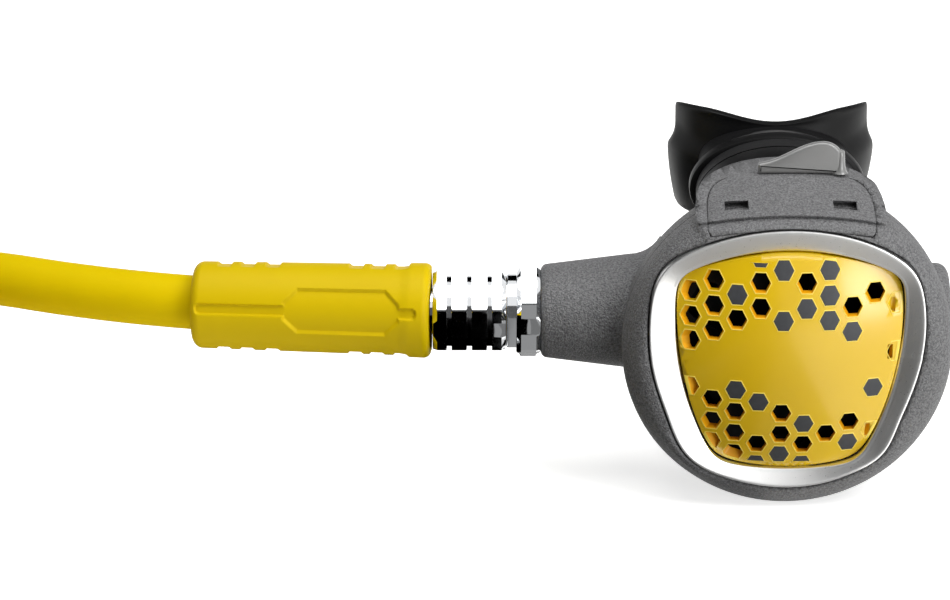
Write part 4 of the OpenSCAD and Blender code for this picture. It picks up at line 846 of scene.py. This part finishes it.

# The same ABS on the holes' walls, painted orange for the light that bounces between them,
# unevenly over 3 mm
abs_painted_bounce, tree, shader = material("yellow_abs_painted_bounce_light", "#e6a30c", Roughness=0.35,
                                  Specular_IOR_Level=0.3)
place = add(tree, "TexCoord")
cloud = add(tree, "TexNoise", {"Vector": place.outputs["Object"], "Scale": 300.0})
tone = add(tree, "Mix", {0: cloud.outputs["Fac"], 6: linear("#dd9805"), 7: linear("#efae14")},
           data_type="RGBA")
tree.links.new(tone.outputs[2], shader.inputs["Base Color"])
walls = shell("purge_button_hole_walls", [hole_wall(*at) for at in holes], abs_painted_bounce, loop=True,
              sharp=40)
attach(walls, "button")

# Each hexagon has a fine raised lip, painted a lighter yellow than the face as a painted highlight
# along its edge, in patches of 3 mm
abs_painted_rim_highlight, tree, shader = material("yellow_abs_painted_rim_highlight", "#ecd04a", Roughness=0.3)
place = add(tree, "TexCoord")
cloud = add(tree, "TexNoise", {"Vector": place.outputs["Object"], "Scale": 300.0})
tone = add(tree, "Mix", {0: cloud.outputs["Fac"], 6: linear("#e6c83c"), 7: linear("#f2d858")},
           data_type="RGBA")
tree.links.new(tone.outputs[2], shader.inputs["Base Color"])
lips = shell("purge_button_hexagon_lips", [np.concatenate([
    hexagon_rings(hexagon(*at), ((0.99, 0.3, 0), (0.985, 0.0, 0), (1.0, -0.05, 0),
                                 (1.04, -0.07, 0))),
    hexagon_rings(hexagon(*at, margin=0.1), ((1.08, -0.05, 0), (1.11, 0.02, 0), (1.11, 0.3, 0)))
]) for at in holes + prints], abs_painted_rim_highlight, loop=True, sharp=60)
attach(lips, "button")

# Grey pad ink, dull, a few hundredths of a millimetre thick, with a mottle of 1 mm
grey_ink, tree, shader = material("grey_pad_ink", "#3a3b3e", Roughness=0.5,
                                  Specular_IOR_Level=0.3)
place = add(tree, "TexCoord")
mottle = add(tree, "TexNoise", {"Vector": place.outputs["Object"], "Scale": 900.0})
tone = add(tree, "Mix", {0: mottle.outputs["Fac"], 6: linear("#353639"), 7: linear("#404144")},
           data_type="RGBA")
tree.links.new(tone.outputs[2], shader.inputs["Base Color"])
ink = shell("printed_hexagons", [hexagon_rings(hexagon(*at), (
    (1.0, 0.05, 0), (1.0, -0.02, 0), (0.96, -0.035, 0), (0.6, -0.04, 0), (0.05, -0.045, 0)))
    for at in prints], grey_ink)
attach(ink, "button")

# ---------------------------------------------------------------- mouthpiece
# One moulding of black silicone rubber: a collar over the mouth tube with a bead behind its
# tie's groove, a shield that lies behind the lips, and two bite tabs. A nylon tie holds it.
tilt = math.radians(10)
mouth_root = np.array([0, 14.0, 20.2])


def on_mouth(x, w, t):
    """From across, up and along the mouth axis to the place in the model."""
    return np.stack([x, mouth_root[1] + t * math.cos(tilt) - w * math.sin(tilt),
                     mouth_root[2] + t * math.sin(tilt) + w * math.cos(tilt)], -1) + case_at


around = 192
b = np.linspace(0, 2 * np.pi, 720, endpoint=False)


def oval(w, h):
    """An ellipse w by h, as points evenly along its length."""
    return even(np.stack([w / 2 * np.cos(b), h / 2 * np.sin(b)], -1), around)


lip_half, lip_bulge, lip_high, lip_drop, lip_t, lip_at = 22.0, 1.65, 10.6, 17.0, 2.2, 26.2
lip_middle, lip_half_h, lip_arc = -3.0, 13.5, 75
arc_end = math.sin(math.radians(lip_arc))
bore_w, bore_h, neck_end = 26, 10, 25.4


def lip_top(u):
    """Top edge: it rises from the notch in the middle in an S curve, and falls to the corners as
    the power 1.6 of the way from half of the width."""
    return lip_high + 1.6 * ease(2 * np.abs(u)) - 3.4 * np.maximum(0, 2 * np.abs(u) - 1) ** 1.6


def lip_low(u):
    """Bottom edge, a parabola with its shallow notch in the middle."""
    return -lip_drop + 3 * (1 - u**2)


def lip_side(v):
    """Half width at height v: upright under the upper corner, then fullest at v = 0.2."""
    below = 1 - np.maximum(0.2 - v, 0) ** 1.5
    return lip_half + lip_bulge * np.where(v < 0.2, below, 1 - ease((v - 0.2) / 0.45))


# The shield's outline, from u across and v up, each -1 to 1. Seen from above the shield is an
# arc, and u is the angle along it as a share of lip_arc. The outline starts at the middle of the
# right side, as the ovals do.
u, v = np.linspace(-1, 1, 200), np.linspace(-1, 1, 100)
wide = np.sin(np.radians(lip_arc * u)) / arc_end
up = (lip_top(1) + lip_low(1)) / 2 + v * (lip_top(1) - lip_low(1)) / 2
right = np.stack([lip_side(v), up], -1)
top = np.stack([wide * lip_side(1), lip_top(u)], -1)
low = np.stack([wide * lip_side(-1), lip_low(u)], -1)
line = even(np.vstack([right[50:], top[::-1], right[::-1] * [-1, 1], low, right[:50]]), 480)
lip_edge = even(smooth(line, 10), around)


def lip_sweep(p):
    """How far along the axis the shield lies at a point: it bends back towards the corners of
    the mouth as u ** 2.2, and a little towards its upper and lower edges."""
    v = np.clip((p[:, 1] - lip_middle) / lip_half_h, -1, 1)
    across = np.clip(np.abs(p[:, 0]) / lip_side(v) * arc_end, 0, arc_end)
    u = np.degrees(np.arcsin(across)) / lip_arc
    return lip_at + 15 * u**2.2 + 2 * v**2


# From the collar's open end outwards and back through the bore: each oval ring is (width,
# height, place along the mouth's axis), and between them the shield grows from its root
rings = []
for w, h, t in ((31.1, 20.1, 4), (36.0, 25.0, 4), (36.7, 25.7, 4.15), (37, 26, 4.6),
                (37, 26, 12.8), (36.8, 25.8, 13.1), (34.9, 23.9, 13.3), (34.6, 23.6, 13.6),
                (34.6, 23.6, 17.0), (34.9, 23.9, 17.3), (38.4, 25.2, 17.5), (39.3, 25.9, 17.8),
                (39.6, 26, 18.4), (39.6, 26, 20.0), (39.2, 25.8, 20.6), (38.2, 25.3, 21.0),
                (36.9, 24.9, 21.3), (36.0, 24.4, 22.0), (35.3, 23.4, 23.4), (34.7, 22.2, 24.8)):
    p = oval(w, h)
    rings.append(on_mouth(p[:, 0], p[:, 1], np.full(around, float(t))))
# The neck's last rings turn from level into the shield's sweep
root, inner_root = oval(34.2, 20.6), oval(31.5, 15.5)
for k in (0.35, 0.75):
    p = root * (1.01 - 0.01 * k)
    rings.append(on_mouth(p[:, 0], p[:, 1], neck_end + (lip_sweep(p) - neck_end) * k))
# Out over the shield's face towards the case, round its edge and back over the face in the
# mouth: each ring is (share of the way from the root to the edge, distance past the first face)
for k, lift in ((0.0, 0), (0.04, 0), (0.12, 0), (0.3, 0), (0.5, 0), (0.7, 0), (0.86, 0),
                (0.96, 0.03), (0.99, 0.2), (1.0, 0.6), (1.0, 1.1), (1.0, 1.6), (0.99, 2.0),
                (0.96, 2.17), (0.86, lip_t), (0.7, lip_t), (0.5, lip_t), (0.3, lip_t),
                (0.12, lip_t)):
    start = root if lift < 1 else inner_root
    p = start + (lip_edge - start) * k
    rings.append(on_mouth(p[:, 0], p[:, 1], lip_sweep(p) + lift))
for w, h, t in ((30.4, 14.4, lip_t), (27.6, 11.6, lip_t - 0.1), (26.4, 10.4, lip_t - 0.5),
                (bore_w, bore_h, lip_t - 1.2)):
    p = oval(w, h)
    rings.append(on_mouth(p[:, 0], p[:, 1], lip_sweep(p) + t))
for w, h, t in ((27, 12, 26), (28.8, 15.4, 24.2), (30.6, 19, 22.4), (31, 20, 22.05),
                (31.1, 20.1, 22)):
    p = oval(w, h)
    rings.append(on_mouth(p[:, 0], p[:, 1], np.full(around, float(t))))

# Silicone rubber with carbon black: satin, very dark, with a faint bloom in 8 mm clouds
black_silicone, tree, shader = material("black_silicone_rubber", "#0c0c0d", Roughness=0.42,
                                        Specular_IOR_Level=0.14)
place = add(tree, "TexCoord")
bloom = add(tree, "TexNoise", {"Vector": place.outputs["Object"], "Scale": 120.0, "Detail": 4.0})
rough = add(tree, "MapRange", {0: bloom.outputs["Fac"], 3: 0.34, 4: 0.52})
tree.links.new(rough.outputs[0], shader.inputs["Roughness"])
tone = add(tree, "Mix", {0: bloom.outputs["Fac"], 6: linear("#090909"), 7: linear("#111112")},
           data_type="RGBA")
tree.links.new(tone.outputs[2], shader.inputs["Base Color"])
mouthpiece = shell("mouthpiece_rubber", np.stack(rings), black_silicone, loop=True, sharp=40)
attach(mouthpiece, "body")
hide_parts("mouthpiece")


def bite_tab(side):
    """A tab on the left (-1) or right (1): s runs along it from 0 to 1, its oval section grows
    taller and thinner with s, bells make a bead near the end, and a quarter round closes it."""
    grids = []
    for s in np.linspace(0, 1, 24):
        high = 1.6 + 1.9 * s + 0.5 * math.exp(-((s - 0.9) / 0.08) ** 2)
        thick = 1.9 - 0.3 * s + 0.7 * math.exp(-((s - 0.93) / 0.06) ** 2)
        close = math.sqrt(max(0.0, 1 - max(0.0, (s - 0.93) / 0.07) ** 2)) + 0.02
        c, d = np.cos(b[::20]), np.sin(b[::20])
        grids.append(on_mouth(side * (16.6 - 1.2 * s) + thick * close * c,
                              1 + high * close * np.sign(d) * np.abs(d) ** 0.6,
                              np.full(len(c), 33.2 + 15.4 * s)))
    return np.stack(grids)


tabs = shell("bite_tabs", [bite_tab(-1), bite_tab(1)], black_silicone, sharp=60)
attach(tabs, "body")
refinish("exhaust_tee", black_silicone, "exhaust_tee_rubber", 40)

# ---------------------------------------------------------------- inner parts
# Behind the button and in the case: black nylon carrier and vane, silicone diaphragm and
# exhaust valve, stainless lever and springs, brass valve with its chromed seat.

# Moulded black nylon: dull, with a 0.7 mm grain
black_nylon, tree, shader = material("black_nylon", "#0f0f10", Roughness=0.5,
                                     Specular_IOR_Level=0.3)
place = add(tree, "TexCoord")
grain = add(tree, "TexNoise", {"Vector": place.outputs["Object"], "Scale": 1500.0})
bump = add(tree, "Bump", {"Height": grain.outputs["Fac"], "Strength": 0.2, "Distance": 0.0002})
tree.links.new(bump.outputs[0], shader.inputs["Normal"])
for node in ("spring_carrier", "mouthpiece_clamp", "deflector_vane"):
    refinish(node, black_nylon, node + "_nylon")

# Clear silicone gone grey: soft sheen, 11 mm clouds, and a little light passes
grey_silicone, tree, shader = material("grey_silicone", "#70757a", Roughness=0.4,
                                       Subsurface_Weight=0.2)
shader.inputs["Subsurface Radius"].default_value = (0.001, 0.001, 0.001)
place = add(tree, "TexCoord")
cloud = add(tree, "TexNoise", {"Vector": place.outputs["Object"], "Scale": 90.0})
tone = add(tree, "Mix", {0: cloud.outputs["Fac"], 6: linear("#686d72"), 7: linear("#7b8085")},
           data_type="RGBA")
tree.links.new(tone.outputs[2], shader.inputs["Base Color"])
refinish("exhaust_valve", grey_silicone, "exhaust_valve_silicone")
membrane = refinish("diaphragm", black_silicone, "diaphragm_silicone")
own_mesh(membrane)

# Stainless sheet and wire: drawn lines, 0.3 mm wide and 17 mm long, blur it along Z
stainless, tree, shader = material("drawn_stainless", "#b5b5b3", Metallic=1.0, Roughness=0.3)
place = add(tree, "TexCoord")
turn_to = add(tree, "Mapping", {"Vector": place.outputs["Object"], "Scale": (3000, 3000, 60)})
lines = add(tree, "TexNoise", {"Vector": turn_to.outputs[0], "Scale": 1.0})
rough = add(tree, "MapRange", {0: lines.outputs["Fac"], 3: 0.2, 4: 0.42})
tree.links.new(rough.outputs[0], shader.inputs["Roughness"])
for node in ("diaphragm_plate", "demand_lever", "lever_washer"):
    refinish(node, stainless, node + "_steel")
# The springs shorten in the valve, one end with the body and the other with the button or the
# poppet; here each copy keeps its place and joins no body
for node, ends in (("purge_spring", ("body", "button", 1)),
                   ("poppet_spring", ("body", "poppet_group", 0))):
    refinish(node, stainless, node + "_steel", ends=ends)

# Turned brass, a little dull, with tool marks 0.25 mm apart along the valve
turned_brass, tree, shader = material("turned_brass", "#c9a45a", Metallic=1.0, Roughness=0.28)
place = add(tree, "TexCoord")
turn_to = add(tree, "Mapping", {"Vector": place.outputs["Object"], "Scale": (4000, 100, 100)})
lines = add(tree, "TexNoise", {"Vector": turn_to.outputs[0], "Scale": 1.0})
rough = add(tree, "MapRange", {0: lines.outputs["Fac"], 3: 0.2, 4: 0.4})
tree.links.new(rough.outputs[0], shader.inputs["Roughness"])
for node in ("valve_barrel", "poppet", "lever_nut"):
    refinish(node, turned_brass, node + "_brass")
refinish("orifice", bright_chrome, "orifice_chromed")
for node in ("dive_o_ring", "poppet_seat", "orifice_o_ring", "fitting_o_ring"):
    refinish(node, nitrile, node + "_nitrile")
far_seal = refinish("far_o_ring", nitrile, "far_o_ring_nitrile")
